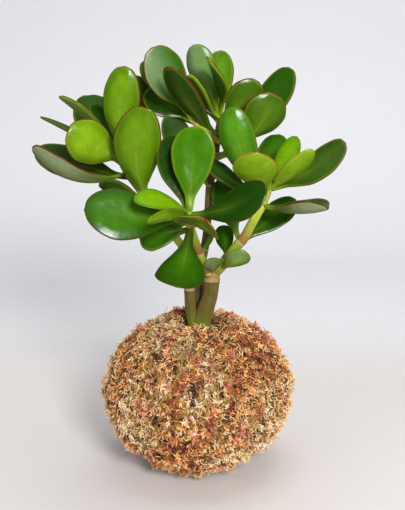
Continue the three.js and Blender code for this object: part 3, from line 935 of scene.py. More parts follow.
@dataclass(frozen=True)
class StemMaker:
    """Draws stems as fine tubes with swollen joints and a slightly uneven skin.

    The rust fades above the share called youngest. The last rings round the tip off: each has its
    rise and its width as shares of the radius at the end.
    """

    pitch: float = 0.8
    around: int = 26
    uneven: float = 0.035
    swell: float = 0.08
    swell_reach: float = 2.6
    ring_depth: float = 0.16
    ring_reach: float = 0.45
    rooted: float = 1.6
    youngest: float = 0.79
    last_rings: tuple[Span, ...] = ((0.405, 0.86), (0.774, 0.45))
    tip_rise: float = 0.95
    bud_rings: int = 12
    bud_around: int = 14
    bud_width: float = 0.85
    bud_thick: float = 0.45
    bud_gap: Span = (0.28, 0.45)
    bud_sunk: float = 0.8

    def tube(self, skin: Skin, spec: StemSpec, seed: float, rooted: float) -> None:
        """Add one stem.

        Args:
            skin: takes the form.
            spec: the stem.
            seed: makes its unevenness its own.
            rooted: how far its lower end reaches back into the stem that bears it.
        """
        curve, angle, joints = spec.curve, circle(self.around), np.array(spec.joints)
        length = float(np.sum(np.linalg.norm(np.diff(curve.at(np.linspace(0, 1, 60)), axis=0), axis=1)))
        share = np.linspace(0, 1, int(length / self.pitch))
        centre, along = curve.at(share), curve.along(share)
        across = [np.array([1.0, 0, 0])]
        for direction in along:
            across.append(unit(across[-1] - direction * (across[-1] @ direction)))
        across = np.array(across[1:])
        beside = np.cross(along, across)

        nearest = np.min(np.abs(share[:, None] - joints), axis=1) * length
        radius = mixed(spec.radii, share) * (1 + self.swell * np.exp(-((nearest / self.swell_reach) ** 2)))
        radius -= self.ring_depth * np.exp(-((nearest / self.ring_reach) ** 2))
        drift = share[:, None] * length
        waves = np.sin(2 * angle + drift * 0.11 + seed) + 0.6 * np.sin(3 * angle - drift * 0.17 + 2 * seed)
        spread = radius[:, None] * (1 + self.uneven * waves)
        centre[0] -= along[0] * rooted
        tip = centre[-1] + along[-1] * radius[-1] * self.tip_rise
        rises, widths = np.array(self.last_rings).T[..., None]
        centre = np.vstack([centre, centre[-1] + rises * radius[-1] * along[-1]])
        spread = np.vstack([spread, widths * spread[-1]])
        across, beside = (np.vstack([rows, *[rows[-1:]] * len(rises)]) for rows in (across, beside))
        rings = centre[:, None] + spread[..., None] * hoop(angle, across[:, None], beside[:, None])
        points = np.concatenate([rings.reshape(-1, 3), [centre[0]], [tip]])

        place = np.append(np.append(share, [1.0] * len(rises)).repeat(self.around), [0.0, 1.0])
        turn = np.append(np.tile(angle, len(rings)), [0.0, 0.0])
        girth = mixed(spec.radii, place)
        grain = np.stack([np.cos(turn) * girth, np.sin(turn) * girth, place * length + seed * 40], -1)
        marks = np.array([0.0, *spec.joints, 1.3])
        above = np.searchsorted(marks, place + 1e-9, side="right")
        gone = (place - marks[above - 1]) / (marks[above] - marks[above - 1])
        rust = spec.rust * np.clip((self.youngest - place) / 0.04, 0, 1)
        joint = np.stack([np.min(np.abs(place[:, None] - joints), axis=1) * length, gone,
                          np.where(place > spec.collar, -1.0, rust)], -1)
        skin.add(points, capped(len(rings), self.around), grain=grain, joint=joint)

    def bud(self, skin: Skin, spec: StemSpec, seed: float) -> None:
        """Add the two closed young leaves at the tip of a shoot.

        Args:
            skin: takes the forms.
            spec: the shoot.
            seed: turns the pair.
        """
        tip, along, thick = spec.curve.at(1.0)[0], spec.curve.along(1.0)[0], spec.radii[-1]
        first = unit(np.cross(along, [math.sin(seed), math.cos(seed), 0.2]))
        hoops = hoop(circle(self.bud_around), np.cross(along, first), self.bud_thick * first)
        faces = [block[:, ::-1] for block in capped(self.bud_rings, self.bud_around)]
        share = np.linspace(0, 1, self.bud_rings)[:, None]
        width = thick * self.bud_width * np.sin(np.pi * (0.2 + 0.8 * share)) ** 0.8 + 0.05
        for side in (-1, 1):
            out = side * thick * (self.bud_gap[0] + self.bud_gap[1] * share**2)
            centre = tip + along * (share * (spec.bud + 1) - self.bud_sunk) + first * out
            rings = centre[:, None] + width[..., None] * hoops
            points = np.concatenate([rings.reshape(-1, 3), [centre[0]], [centre[-1] + along * 0.2]])
            skin.add(points, faces, grain=points, joint=np.array([9.0, -1.0, 0.0]))


@dataclass
class Stems(Assembly):
    """The fused woody trunks and the five green shoots."""

    bark: Rind = Rind(
        "bark", matt=0.5, ground=srgb(104, 84, 28), streak=srgb(74, 80, 16), rust=srgb(84, 50, 36),
        ring=srgb(168, 150, 112), lines=2.0, depth=0.7, foot=srgb(126, 164, 50), foot_top=104, flanks=0.6)
    rind: Rind = Rind(
        "green_rind", matt=0.42, coat=0.1, ground=srgb(174, 186, 60), streak=srgb(134, 164, 44),
        rust=srgb(150, 84, 46), ring=srgb(196, 190, 124), lines=0.3, depth=0.15, rust_reach=0.8,
        foot=srgb(84, 106, 30), foot_top=147)
    maker: StemMaker = StemMaker()

    def build(self) -> None:
        """Make the trunks and the shoots."""
        skin = Skin()
        for index, spec in enumerate(TRUNKS.values()):
            self.maker.tube(skin, spec, 1.7 * index, 0)
        seat(skin.build("trunks_bark", self.bark.material(self.effects)), "bark", "woody_trunks")
        finish = self.rind.material(self.effects)
        for index, (name, spec) in enumerate(SHOOTS.items()):
            skin = Skin()
            self.maker.tube(skin, spec, 2.3 * index + 1, self.maker.rooted)
            self.maker.bud(skin, spec, 1.9 * index + 0.4)
            seat(skin.build(f"{name}_rind", finish), "green_stem", name)


# ---------------------------------------------------------------- leaves


class Tone(Enum):
    """Greens of a leaf, its upper and its under face: partly each leaf's own green, partly painted shade and
    light, darker for leaves that lie in shadow.
    """

    DARK = (srgb(20, 57, 3), srgb(38, 60, 14))
    DEEP = (srgb(34, 75, 6), srgb(54, 86, 17))
    GREEN = (srgb(52, 101, 6), srgb(76, 112, 20))
    VIVID = (srgb(60, 114, 2), srgb(84, 124, 12))
    FRESH = (srgb(70, 127, 3), srgb(97, 137, 11))
    LIGHT = (srgb(86, 129, 16), srgb(121, 159, 18))
    OLIVE = (srgb(52, 84, 11), srgb(72, 105, 16))
    YOUNG = (srgb(110, 157, 4), srgb(115, 150, 18))
    GREY = (srgb(59, 94, 22), srgb(83, 101, 36))
    GLOSSY = (srgb(77, 135, 17), srgb(77, 133, 18))


@dataclass(frozen=True)
class Leaf:
    """One leaf: where it grows, how it lies and how it looks.

    It leaves its stem at a share of the stem's length, and face is where its upper side looks.
    Arch and sway bow it, as shares of its length, cup hollows it, and a lower widest moves its
    greatest width to the stalk. Rim, gold and sheen are strengths; the sheen is painted light
    reflected off the waxy skin, and a sheen below 0 lies on the other side.
    """

    stem: str
    at: float
    tip: Point
    face: Point
    width: float
    arch: float
    tone: Tone
    rim: float = 0.8
    gold: float = 0.3
    bloom: float = 0.0
    cup: float = 0.1
    sway: float = 0.0
    widest: float = 1.0
    young: bool = False


DARK, DEEP, GREEN, VIVID, FRESH, LIGHT, OLIVE, YOUNG, GREY, GLOSSY = Tone
LEFT, FRONT, RIGHT, UPPER, TOP, CENTRE = (
    "branch_left", "branch_front", "branch_right", "branch_upper_right", "branch_top", "trunk_centre")
LEAVES = {
    "left": (
        Leaf(LEFT, 0.58, (-30.1, -27, 225), (0.05, 1, 0.2), 27.5, -0.07, FRESH, 1, sway=0.07, widest=0.85),
        Leaf(LEFT, 0.99, (-41.8, -8, 247), (0.1, 1, 0.2), 22.5, -0.05, FRESH, 0.9, widest=0.85),
        Leaf(LEFT, 0.86, (-37.5, 24, 242), (0.3, 0.9, 0.3), 20, -0.04, DEEP, sway=-0.06),
        Leaf(LEFT, 0.88, (-73.3, -24, 211.5), (0, 1, -0.2), 25.5, -0.06, LIGHT, 0.9, 0.4, widest=0.85),
        Leaf(LEFT, 1, (-80.4, -6, 230), (0.5, 0.4, 0.7), 17, 0.06, OLIVE, 0.6, 0.8, 0.3, cup=0.15),
        Leaf(LEFT, 0.9, (-72.6, 46, 229.5), (0.2, -0.9, 0.3), 27, -0.04, DEEP, 0.5, bloom=0.04),
        Leaf(LEFT, 0.99, (-64.3, 14, 225.2), (0.5, -0.6, 0.6), 14, 0.03, DARK, gold=0.2),
        Leaf(LEFT, 0.84, (-101, 42, 216), (0.05, 0.12, 1), 14, 0.03, GREEN, 0.25, bloom=0.2),
        Leaf(LEFT, 0.76, (-94.2, -20, 202), (-0.1, 0.45, 0.9), 22, -0.19, GREY, 1, bloom=-0.4, cup=0.2),
        Leaf(LEFT, 0.73, (-101.4, 24, 196.5), (0.1, -0.75, 0.65), 24, -0.06, DARK, bloom=0.03),
        Leaf(LEFT, 0.5, (-63.5, 14, 168.5), (0.1, -0.4, 0.9), 15, 0.05, GREEN, 0.5),
        Leaf(LEFT, 0.54, (-58.5, -7, 180), (0, 0.7, 0.7), 14, 0.02, DARK, 0.3, 0.2),
    ),
    "front": (
        Leaf(FRONT, 0.9, (-61.2, -52, 171), (0.1, -0.85, 0.5), 29, 0.02, GREEN, 0.5, 0, 0.02, sway=-0.04),
        Leaf(FRONT, 0.99, (-34.2, -55, 176.5), (0.1, -0.5, 0.9), 17, 0.1, YOUNG, 0.15, 0, widest=0.75,
             young=True),
        Leaf(FRONT, 0.92, (-25.6, -72, 168.5), (-0.2, 0.75, 0.6), 13, 0.04, YOUNG, 0.15, 0, widest=0.75,
             young=True),
        Leaf(FRONT, 1, (-1.7, -28, 214.2), (0, -1, 0.1), 24.5, -0.03, VIVID, 0.35, young=True),
        Leaf(FRONT, 0.94, (-14.4, -12, 209), (0.25, -0.9, 0.3), 25, -0.05, DARK, 0.35, 0.2),
        Leaf(FRONT, 0.95, (37.3, -47, 182.5), (-0.1, -0.8, 0.6), 21, -0.02, DARK, 0.5, 0, sway=0.09),
        Leaf(FRONT, 0.8, (3.4, -68, 168.5), (0.34, 0.4, 0.85), 27, 0.01, OLIVE, 1, 1, cup=-0.38, widest=1.1),
        Leaf(FRONT, 0.72, (-12, -72, 134), (0.05, -0.5, 0.85), 27, -0.2, GREEN, 0.45, 0, cup=0.05,
             widest=0.95),
        Leaf(FRONT, 0.68, (-34, -24, 149.5), (0.1, -0.75, 0.65), 21, 0.02, GREEN, 0.2),
        Leaf(FRONT, 0.78, (-29, 5, 154), (0, 0.85, 0.5), 18, -0.03, OLIVE, 0.3),
        Leaf(FRONT, 0.35, (9, -9, 150), (-0.6, 0.4, 0.6), 7, -0.04, FRESH, 0, 0),
    ),
    "right": (
        Leaf(RIGHT, 0.12, (28, -23, 141.5), (0.15, 0.75, 0.6), 14, -0.05, FRESH, 0.2, 0.2, 0.2),
        Leaf(RIGHT, 0.22, (15.5, 12, 151), (0, -0.9, 0.4), 12, -0.04, GREEN, 0.1, 0),
        Leaf(RIGHT, 0.44, (13, 10, 180), (-0.1, -0.8, 0.6), 17, -0.05, DEEP, 0.6, 0.2),
        Leaf(RIGHT, 0.43, (59.5, 10, 168), (-0.1, -0.7, 0.7), 18, -0.04, DEEP, 0.3, 0.2),
        Leaf(RIGHT, 0.78, (74.2, -28, 168), (-0.1, 0.1, 1), 27, -0.06, GREY, 1, bloom=0.42, cup=0.48),
        Leaf(RIGHT, 0.97, (83.5, -22, 204.6), (-0.35, -0.7, 0.6), 22, -0.05, OLIVE, bloom=0.03, sway=0.05),
        Leaf(RIGHT, 0.99, (63.8, -31, 201.5), (-0.4, 0.8, 0.4), 15, -0.05, YOUNG, 0.4, 0.7, widest=0.75,
             young=True),
        Leaf(RIGHT, 0.98, (57, -12, 207.5), (-0.5, -0.8, 0.2), 14, -0.05, YOUNG, 0.2, 0, widest=0.75,
             young=True),
        Leaf(RIGHT, 0.96, (27, -45, 200.5), (-0.1, 0.6, 0.8), 24, -0.08, YOUNG, 0.9, 0.6, young=True),
        Leaf("trunk_right", 0.98, (8.6, -19, 137), (-0.2, 0.8, 0.6), 11, -0.05, GREY, 0.2, 0.2, 0.22),
        Leaf(RIGHT, 0.88, (17.8, -22, 224.3), (0.1, 0.95, 0.3), 21, -0.06, GLOSSY, 0.15, 0.2, sway=0.04),
        Leaf(RIGHT, 0.87, (49, 20, 206.5), (0, -0.8, 0.5), 20, -0.04, GREEN, 0.4),
        Leaf(RIGHT, 0.82, (3.6, -2, 193.3), (0, -0.6, 0.8), 12, -0.04, DEEP, 0.5, 0.2),
    ),
    "upper": (
        Leaf(UPPER, 0.98, (45.2, -7, 231.2), (-0.3, 0.9, 0.2), 26.5, -0.05, OLIVE, 1, widest=0.85),
        Leaf(UPPER, 0.97, (56.4, 34, 247), (-0.3, -0.8, 0.4), 22, -0.05, DEEP, 0.9, widest=0.85),
        Leaf(CENTRE, 0.97, (35.6, 0, 238), (-0.3, 0.9, 0.3), 21.5, -0.05, OLIVE, 1, 0.4, widest=0.85),
    ),
    "top": (
        Leaf(TOP, 0.97, (-26.3, -12, 257), (0.3, -0.9, 0.2), 25, -0.04, GREEN, 1, bloom=-0.31, widest=0.85),
        Leaf(CENTRE, 0.85, (-16.5, -30, 246.3), (0.4, 0.8, 0.4), 17.5, -0.05, DARK, 1, 0.2),
        Leaf(CENTRE, 0.99, (-2.6, 2, 259.3), (0.3, 0.9, 0.2), 18.5, -0.03, GLOSSY, 0.3, bloom=0.36, cup=0.2),
        Leaf(CENTRE, 1, (5.5, -22, 250.7), (-0.6, -0.7, 0.4), 17.5, -0.11, GREEN, 0.5, 0.7),
        Leaf(CENTRE, 0.98, (13.5, 32, 257), (0, -0.9, 0.3), 17, -0.04, LIGHT, 0.7, 0.4),
        Leaf(CENTRE, 0.97, (-4.8, -12, 242), (0.6, 0.3, 0.7), 15, -0.06, DEEP, 0.05, 1),
        Leaf(CENTRE, 0.93, (-2, 16, 236), (0.3, -0.6, 0.7), 13, -0.04, DEEP, 0.3, bloom=0.05),
        Leaf(TOP, 1, (-33.3, 26, 250.3), (0.3, -0.8, 0.4), 17, -0.04, OLIVE, 0.7),
        Leaf(TOP, 0.78, (-30.8, 4, 233.4), (0.35, -0.8, 0.45), 22, -0.04, DARK),
        Leaf(TOP, 0.68, (-20.5, 30, 224), (0.3, -0.6, 0.7), 14, -0.04, DARK, 0.5),
    ),
    "centre": (
        Leaf(CENTRE, 0.62, (-19.4, -4, 219), (0.2, -0.8, 0.5), 20, -0.04, DEEP, bloom=0.06),
    ),
}
# Share of the length, half width as a share of the greatest, and thickness along a blade. The
# last row mirrors the one before the tip and only steers the curve.
OUTLINE = (
    (0.0, 0.17, 2.6), (0.13, 0.21, 2.6), (0.29, 0.49, 3.0), (0.48, 0.87, 3.1), (0.67, 1.0, 3.0),
    (0.84, 0.85, 2.5), (0.96, 0.48, 1.8), (1.0, 0.0, 1.0), (1.04, -0.48, 1.0),
)


@dataclass
class Leaves(Assembly):
    """All the leaves: thick blades with thin edges, each with its own wave and twist."""

    mature: LeafSkin = LeafSkin("leaf_skin", matt=0.22, shine=0.27)
    young: LeafSkin = LeafSkin(
        "young_leaf_skin", matt=0.24, shine=0.27, rim=srgb(150, 96, 36), shade=srgb(62, 110, 10),
        margin=3.0, vein_strength=0.2)
    rings: int = 38
    around: int = 28
    sunk: float = 0.7
    squared: float = 0.75
    groove: float = 0.35
    groove_width: float = 0.16
    wave: float = 0.025
    ripple: float = 0.03
    lean: float = 0.04
    twist: Span = (-0.07, 0.07)
    uneven: Span = (-0.08, 0.08)
    fullness: float = 2.5
    edge_round: float = 0.55
    first_seed: int = 700

    def build(self) -> None:
        """Make each leaf as a piece of its own."""
        mature, young = self.mature.material(self.effects), self.young.material(self.effects)
        named = [(f"leaf_{cluster}_{place}", leaf)
                 for cluster, leaves in LEAVES.items() for place, leaf in enumerate(leaves, 1)]
        for number, (name, leaf) in enumerate(named):
            skin = Skin()
            self._blade(skin, leaf, number)
            piece = skin.build(f"{name}_blade", young if leaf.young else mature)
            seat(piece, "young_leaf" if leaf.young else "leaf", name)

    def _axes(self, leaf: Leaf) -> tuple[np.ndarray, np.ndarray, np.ndarray, np.ndarray, float]:
        """Work out how a leaf lies, as the part's own source does.

        Args:
            leaf: the leaf.

        Returns:
            Its base, its direction, its upper face, its side and its length.
        """
        stem, tip, face = STEMS[leaf.stem], np.array(leaf.tip), np.array(leaf.face)
        centre, along = stem.curve.at(leaf.at)[0], stem.curve.along(leaf.at)[0]
        out = tip - centre
        reach = np.linalg.norm(out)
        out = unit(out - along * (self.squared * (out @ along)))
        base = centre + out * float(mixed(stem.radii, leaf.at)) * self.sunk
        size = np.linalg.norm(tip - base)
        axis = (tip - base) / size
        upper = unit(face - axis * (face @ axis))
        return base, axis, upper, np.cross(axis, upper), float(min(size, reach))

    def _blade(self, skin: Skin, leaf: Leaf, number: int) -> None:
        """Add one blade.

        Args:
            skin: takes the form.
            leaf: the leaf.
            number: its place among all the leaves, which makes its waves its own.
        """
        base, axis, upper, side, size = self._axes(leaf)
        draw = np.random.default_rng(self.first_seed + number)
        tip = (len(OUTLINE) - 2) / (len(OUTLINE) - 1)
        pace = np.linspace(0, 1, self.rings + 1)[:-1]
        share, half, thick = Spline(OUTLINE).at((pace + 0.05 * np.sin(np.pi * pace)) * tip).T[..., None]
        share = np.maximum(share, 0) ** (1 / leaf.widest)
        phase, lean, twist = draw.uniform(0, 6), draw.uniform(-1, 1), draw.uniform(*self.twist)
        reach = half * leaf.width / 2 * (1 + self.wave * np.sin(7 * share + phase))
        bow = 4 * share * (1 - share) * size
        centre = base + share * size * axis + leaf.sway * bow * side + leaf.arch * bow * upper

        angle = circle(self.around)
        across = np.cos(angle)
        lift = np.sign(np.sin(angle)) * (1 - np.abs(across) ** self.fullness) ** self.edge_round
        ripple = self.ripple * leaf.width * np.sin(5 * share + phase * 2) * across * eased(share, 0.2, 0.6)
        dip = self.groove * np.exp(-((across / self.groove_width) ** 2)) * (lift > 0)
        dip = dip * (eased(share, 0.0, 0.2) * eased(share, 0.95, 0.5))
        high = (thick / 2 * lift + leaf.cup * reach * across**2 + ripple - dip)[..., None]
        wide = reach * (across + self.lean * lean * (1 - across**2))
        turn = twist * share
        rings = centre[:, None] + wide[..., None] * hoop(turn, side, upper) + high * hoop(turn, upper, -side)
        points = np.concatenate([rings.reshape(-1, 3), [centre[0]], [base + axis * size]])

        edge = np.minimum((1 - np.abs(across)) * reach, np.maximum(1 - share, 0) * size * 0.9)
        blade = self._rows(wide, share * size, number * 7.0, [0, 0, number * 7.0], [0, size, number * 7.0])
        spot = self._rows(share, edge, eased(lift, -0.3, 0.3), [0, 5, 0.5], [1, 0, 0.5])
        above, below = (np.array(colour) for colour in leaf.tone.value)
        tone = (below + (above - below) * spot[:, 2:]) * (1 + draw.uniform(*self.uneven))
        traits = np.array([leaf.bloom, leaf.rim, leaf.gold])
        faces = [block[:, ::-1] for block in capped(self.rings, self.around)]
        skin.add(points, faces, blade=blade, spot=spot, tone=tone, traits=traits)

    @staticmethod
    def _rows(first: np.ndarray, second: np.ndarray, third: np.ndarray, *ends: list[float]) -> np.ndarray:
        """Set three numbers side by side for each point of the rings, and add those of the ends."""
        return np.concatenate([np.stack(np.broadcast_arrays(first, second, third), -1).reshape(-1, 3), ends])


# ---------------------------------------------------------------- the ball


@dataclass(frozen=True)
class BallShape:
    """The form of the moss ball, as the part's own source gives it."""

    radius: float = 59.5
    half_height: float = 50.5
    base_half_height: float = 51.5
    centre_z: float = 49.5
    top_power: float = 1.92
    base_power: float = 2.0
    tuft_height: float = 1.0
    tuft_waves: int = 9
    tuft_pitch: float = 0.42
    tuft_shift: float = 1.7
    dimple_x: float = 2.0
    dimple_depth: float = 8.0
    dimple_radius: float = 15.0
    valley_depth: float = 2.0
    valley_width: float = 6.0
    thread_tilt: float = 64.0
    thread_turns: tuple[float, ...] = (28.0, 152.0, 262.0)

    def planes(self) -> np.ndarray:
        """Find the unit normals of the planes that hold the loops of thread."""
        tilt, flat = math.radians(self.thread_tilt), hoop(np.radians(self.thread_turns), *np.eye(3)[:2])
        return math.sin(tilt) * flat + [0, 0, math.cos(tilt)]

    def distance(self, directions: np.ndarray) -> np.ndarray:
        """Find how far the moss reaches.

        Args:
            directions: unit vectors from the ball's centre.

        Returns:
            The distance from the centre to the surface along each.
        """
        upper = directions[:, 2] > 0
        power = np.where(upper, self.top_power, self.base_power)
        flat = np.hypot(directions[:, 0], directions[:, 1]) / self.radius
        high = np.abs(directions[:, 2]) / np.where(upper, self.half_height, self.base_half_height)
        plain = (flat**power + high**power) ** (-1 / power)
        points = directions * plain[:, None]
        depth = np.max(np.exp(-((points @ self.planes().T / self.valley_width) ** 2)), axis=1)
        off = np.hypot(points[:, 0] - self.dimple_x, points[:, 1]) / self.dimple_radius
        dimple = np.where(upper, self.dimple_depth * np.exp(-(off**4)), 0)
        return plain + self._tufts(points) - depth * self.valley_depth - dimple

    def _tufts(self, points: np.ndarray) -> np.ndarray:
        """Add up the waves that lift and sink the surface.

        Args:
            points: places on the plain ball.

        Returns:
            How far the surface rises at each.
        """
        golden = math.pi * (3 - math.sqrt(5))
        total = np.zeros(len(points))
        for wave in range(self.tuft_waves):
            rise = 1 - 2 * (wave + 0.5) / self.tuft_waves
            flat, turn = math.sqrt(1 - rise * rise), wave * golden
            heading = np.array([math.cos(turn) * flat, math.sin(turn) * flat, rise])
            total += np.sin(points @ heading * self.tuft_pitch + wave * self.tuft_shift)
        return total / math.sqrt(self.tuft_waves) * self.tuft_height

    def place(self, directions: np.ndarray, height: np.ndarray) -> np.ndarray:
        """Find points at a height over the surface, in the part's frame."""
        points = directions * (self.distance(directions) + height)[:, None]
        points[:, 2] += self.centre_z
        return points


def clumps(directions: np.ndarray, scale: float, shift: float) -> np.ndarray:
    """Read smooth noise of about -1 to 1 on a ball of directions."""
    moved = directions * (scale, scale, 0.6 * scale) + shift
    return np.array([noise.noise(Vector(row)) for row in moved])


# Where the loose stretches of thread lie and the pink buds sit, as directions from the centre.
LOOSE_THREADS = (((-45.5, -25, 25), (-24.9, -15.5, 43.7)), ((-15.8, -34, 39.3), (-3.1, -29.5, 43.8)))
HUSKS = ((-3.2, -57, 5), (-1.9, -57, -4.4), (34, 46, 22), (-44, 30, 20), (20, 55, -6), (52, 18, -4))
# The direction that the headings of sprigs and curls are turned from, away from the ball's axes.
SLANT = (0.21, 0.34, 0.92)


@dataclass(frozen=True)
class Sprig:
    """A sprig of moss, with the least and the greatest of what chance draws for it.

    The depth of its root, the lengths and the width are millimetres and the other pairs are angles.
    """

    leaflets: int = 8
    flat: float = 0.5
    widths: tuple[float, ...] = (0.7, 1.0, 0.8, 0)
    whorl: float = 2.4
    stray: float = 0.9
    blotch: float = 0.25
    depth: Span = (-2.2, 0.6)
    rise: Span = (-0.1, 0.7)
    length: Span = (1.0, 3.4)
    opening: Span = (0.5, 1.4)
    roll: Span = (-0.4, 1.0)
    bend: Span = (0.9, 3.0)
    leaflet: Span = (1.5, 3.9)
    width: Span = (0.24, 0.6)


@dataclass(frozen=True)
class Curl:
    """A thin curl of moss, with the least and the greatest of what chance draws for it."""

    flat: float = 0.9
    widths: tuple[float, ...] = (0.6, 0.9, 1, 1, 0.9, 0.7, 0)
    tucked: float = 0.8
    bend: float = 0.6
    wander: float = 0.45
    length: Span = (2.5, 6)
    height: Span = (-0.3, 1.2)
    loose_lift: Span = (1.0, 2.6)
    tucked_lift: Span = (-0.4, 0.8)
    width: Span = (0.2, 0.36)
    tone: Span = (0.35, 1.15)


@dataclass
class MossBall(Assembly):
    """The moss: a matted bed, sprigs with curved leaflets and thin curls, and the thread round it."""

    shape: BallShape = BallShape()
    fibre: MossFibre = MossFibre("moss_fibre", matt=0.85)
    bed: MossBed = MossBed("moss_bed", matt=0.95)
    twine: Twine = Twine("twine", matt=0.75)
    earth: Earth = Earth("damp_soil", matt=0.9)
    husk: Husk = Husk("pink_bud", matt=0.4)
    seed: int = 41
    sectors: int = 4
    sprigs: int = 4600
    sprig: Sprig = Sprig()
    curls: int = 3000
    curl: Curl = Curl()
    sunk: float = 1.1
    bed_detail: int = 7
    bed_depth: float = 0.7
    bed_lumps: float = 0.7
    # Height, scale and shift of the noise of each size of clump, of the crumbs and of the creases.
    lumps: tuple[Point, ...] = ((1.5, 10, 5.3), (1.1, 26, 2.2))
    crumbs: Point = (0.6, 60, 1.9)
    crease: Point = (1.3, 5.5, 9.1)
    crease_width: float = 0.034
    mouth: Span = (2.0, -2.0)
    mouth_depth: float = 5.2
    mouth_radius: float = 15.0
    hole: Span = (2.0, -1.0)
    hole_radius: float = 7.0
    hole_low: float = 60.0
    husk_detail: int = 3
    husk_height: float = 2.0
    husk_seed: int = 5
    husk_size: Point = (1.7, 1.15, 0.75)
    husk_taper: float = 0.35
    husk_scale: Span = (1.05, 1.35)
    ply: float = 0.24
    ply_sides: int = 6
    twist_pitch: float = 2.8
    twist_steps: int = 380
    thread_height: float = -0.6
    loose_height: float = 1.3
    loose_drop: float = 3.5

    def build(self) -> None:
        """Make the bed, the sprigs, the curls, the thread and the finish of the soil."""
        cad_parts["soil_core"].data.materials.clear()
        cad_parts["soil_core"].data.materials.append(self.earth.material(self.effects))
        LOG.info("soil_core keeps its solid, with damp soil")
        self._bed()
        fibre = self.fibre.material(self.effects)
        draw = np.random.default_rng(self.seed)
        for sector in range(self.sectors):
            skin = Skin()
            self._sprigs(skin, draw, sector)
            self._curls(skin, draw, sector)
            seat(skin.build(f"moss_sprigs_{sector + 1}", fibre), "moss")
        self._husks()
        self._thread()

    def _bed(self) -> None:
        """Make the matted bed under the sprigs."""
        points, faces = globe(self.bed_detail)
        directions = unit(points)
        lumps = self._lumps(directions)
        rough, *crumbs = self.crumbs
        relief = self.bed_lumps * lumps + rough * clumps(directions, *crumbs)
        skin = Skin()
        skin.add(ground_clear(self._place(directions, relief - self.bed_depth)), [faces],
                 lumps=lumps[:, None] * [0, 0, 1])
        seat(skin.build("moss_bed", self.bed.material(self.effects)), "moss", "moss_layer")

    def _lumps(self, directions: np.ndarray) -> np.ndarray:
        """Find how far the clumps of moss rise, with creases between them."""
        depth, *where = self.crease
        crease = np.exp(-((clumps(directions, *where) / self.crease_width) ** 2))
        return sum(rise * clumps(directions, *size) for rise, *size in self.lumps) - depth * crease

    def _place(self, directions: np.ndarray, height: np.ndarray) -> np.ndarray:
        """Find points over the surface, sunk a little, and more round the trunks.

        Args:
            directions: unit vectors from the ball's centre.
            height: how high each point would lie over the surface.

        Returns:
            The points in the part's frame.
        """
        points = self.shape.place(directions, height)
        near = np.hypot(points[:, 0] - self.mouth[0], points[:, 1] - self.mouth[1]) / self.mouth_radius
        lowered = self.mouth_depth * np.exp(-(near**4)) * (directions[:, 2] > 0)
        return self.shape.place(directions, height - lowered - self.sunk)

    def _scatter(self, draw: np.random.Generator, sector: int, count: int) -> np.ndarray:
        """Draw directions from the ball's centre, evenly spread over one of its sectors.

        Args:
            draw: the source of chance.
            sector: which part of the ball.
            count: how many.

        Returns:
            The directions.
        """
        rise = draw.uniform(-0.985, 1, count)
        turn = (draw.uniform(0, 1, count) + sector) * 2 * math.pi / self.sectors
        flat = np.sqrt(1 - rise**2)
        return np.stack([flat * np.cos(turn), flat * np.sin(turn), rise], -1)

    def _share(self, count: int) -> int:
        return count // self.sectors // 1

    def _sprigs(self, skin: Skin, draw: np.random.Generator, sector: int) -> None:
        """Add the sprigs of one sector: short stems, each set about with curved leaflets.

        Args:
            skin: takes the forms.
            draw: the source of chance.
            sector: which part of the ball.
        """
        like, count = self.sprig, self._share(self.sprigs)
        each, bends = like.leaflets, len(like.widths) - 1
        leaflets = (count, each)
        direction = self._scatter(draw, sector, count)
        root = self._place(direction, self._lumps(direction) + draw.uniform(*like.depth, count))
        first = unit(np.cross(direction, SLANT))
        heading, rise = draw.normal(math.pi / 2, like.stray, count), draw.uniform(*like.rise, count)
        axis = unit(hoop(rise, hoop(heading, first, np.cross(direction, first)), direction))
        beside = unit(np.cross(axis, direction))
        over = np.cross(beside, axis)
        reach = draw.uniform(*like.length, count)[:, None] * np.linspace(0.1, 1, each)
        turn = np.arange(each) * like.whorl + draw.uniform(0, 6, (count, 1)) + draw.normal(0, 0.3, leaflets)
        open_by = draw.uniform(*like.opening, leaflets) * np.linspace(1.1, 0.6, each)
        axis, direction = axis[:, None], direction[:, None]
        ahead = hoop(open_by, axis, hoop(turn, beside[:, None], over[:, None]))
        aside = unit(hoop(draw.uniform(*like.roll, leaflets), unit(np.cross(ahead, direction)), -direction))
        bend = draw.uniform(*like.bend, leaflets) * draw.choice([-1, 1], leaflets)
        stride = draw.uniform(*like.leaflet, leaflets)[..., None] / bends
        path = [root[:, None] + reach[..., None] * axis]
        for step in range(bends):
            path.append(path[-1] + stride * hoop(bend * (step + 0.5) / bends, ahead, aside))
        path = ground_clear(np.stack(path, 2).reshape(-1, bends + 1, 3))
        wide = draw.uniform(*like.width, count * each)[:, None] * np.array(like.widths)
        own = np.repeat(draw.uniform(0, 1, count), each) + draw.normal(0, like.blotch, count * each)
        self._blades(skin, path, wide, like.flat, own)

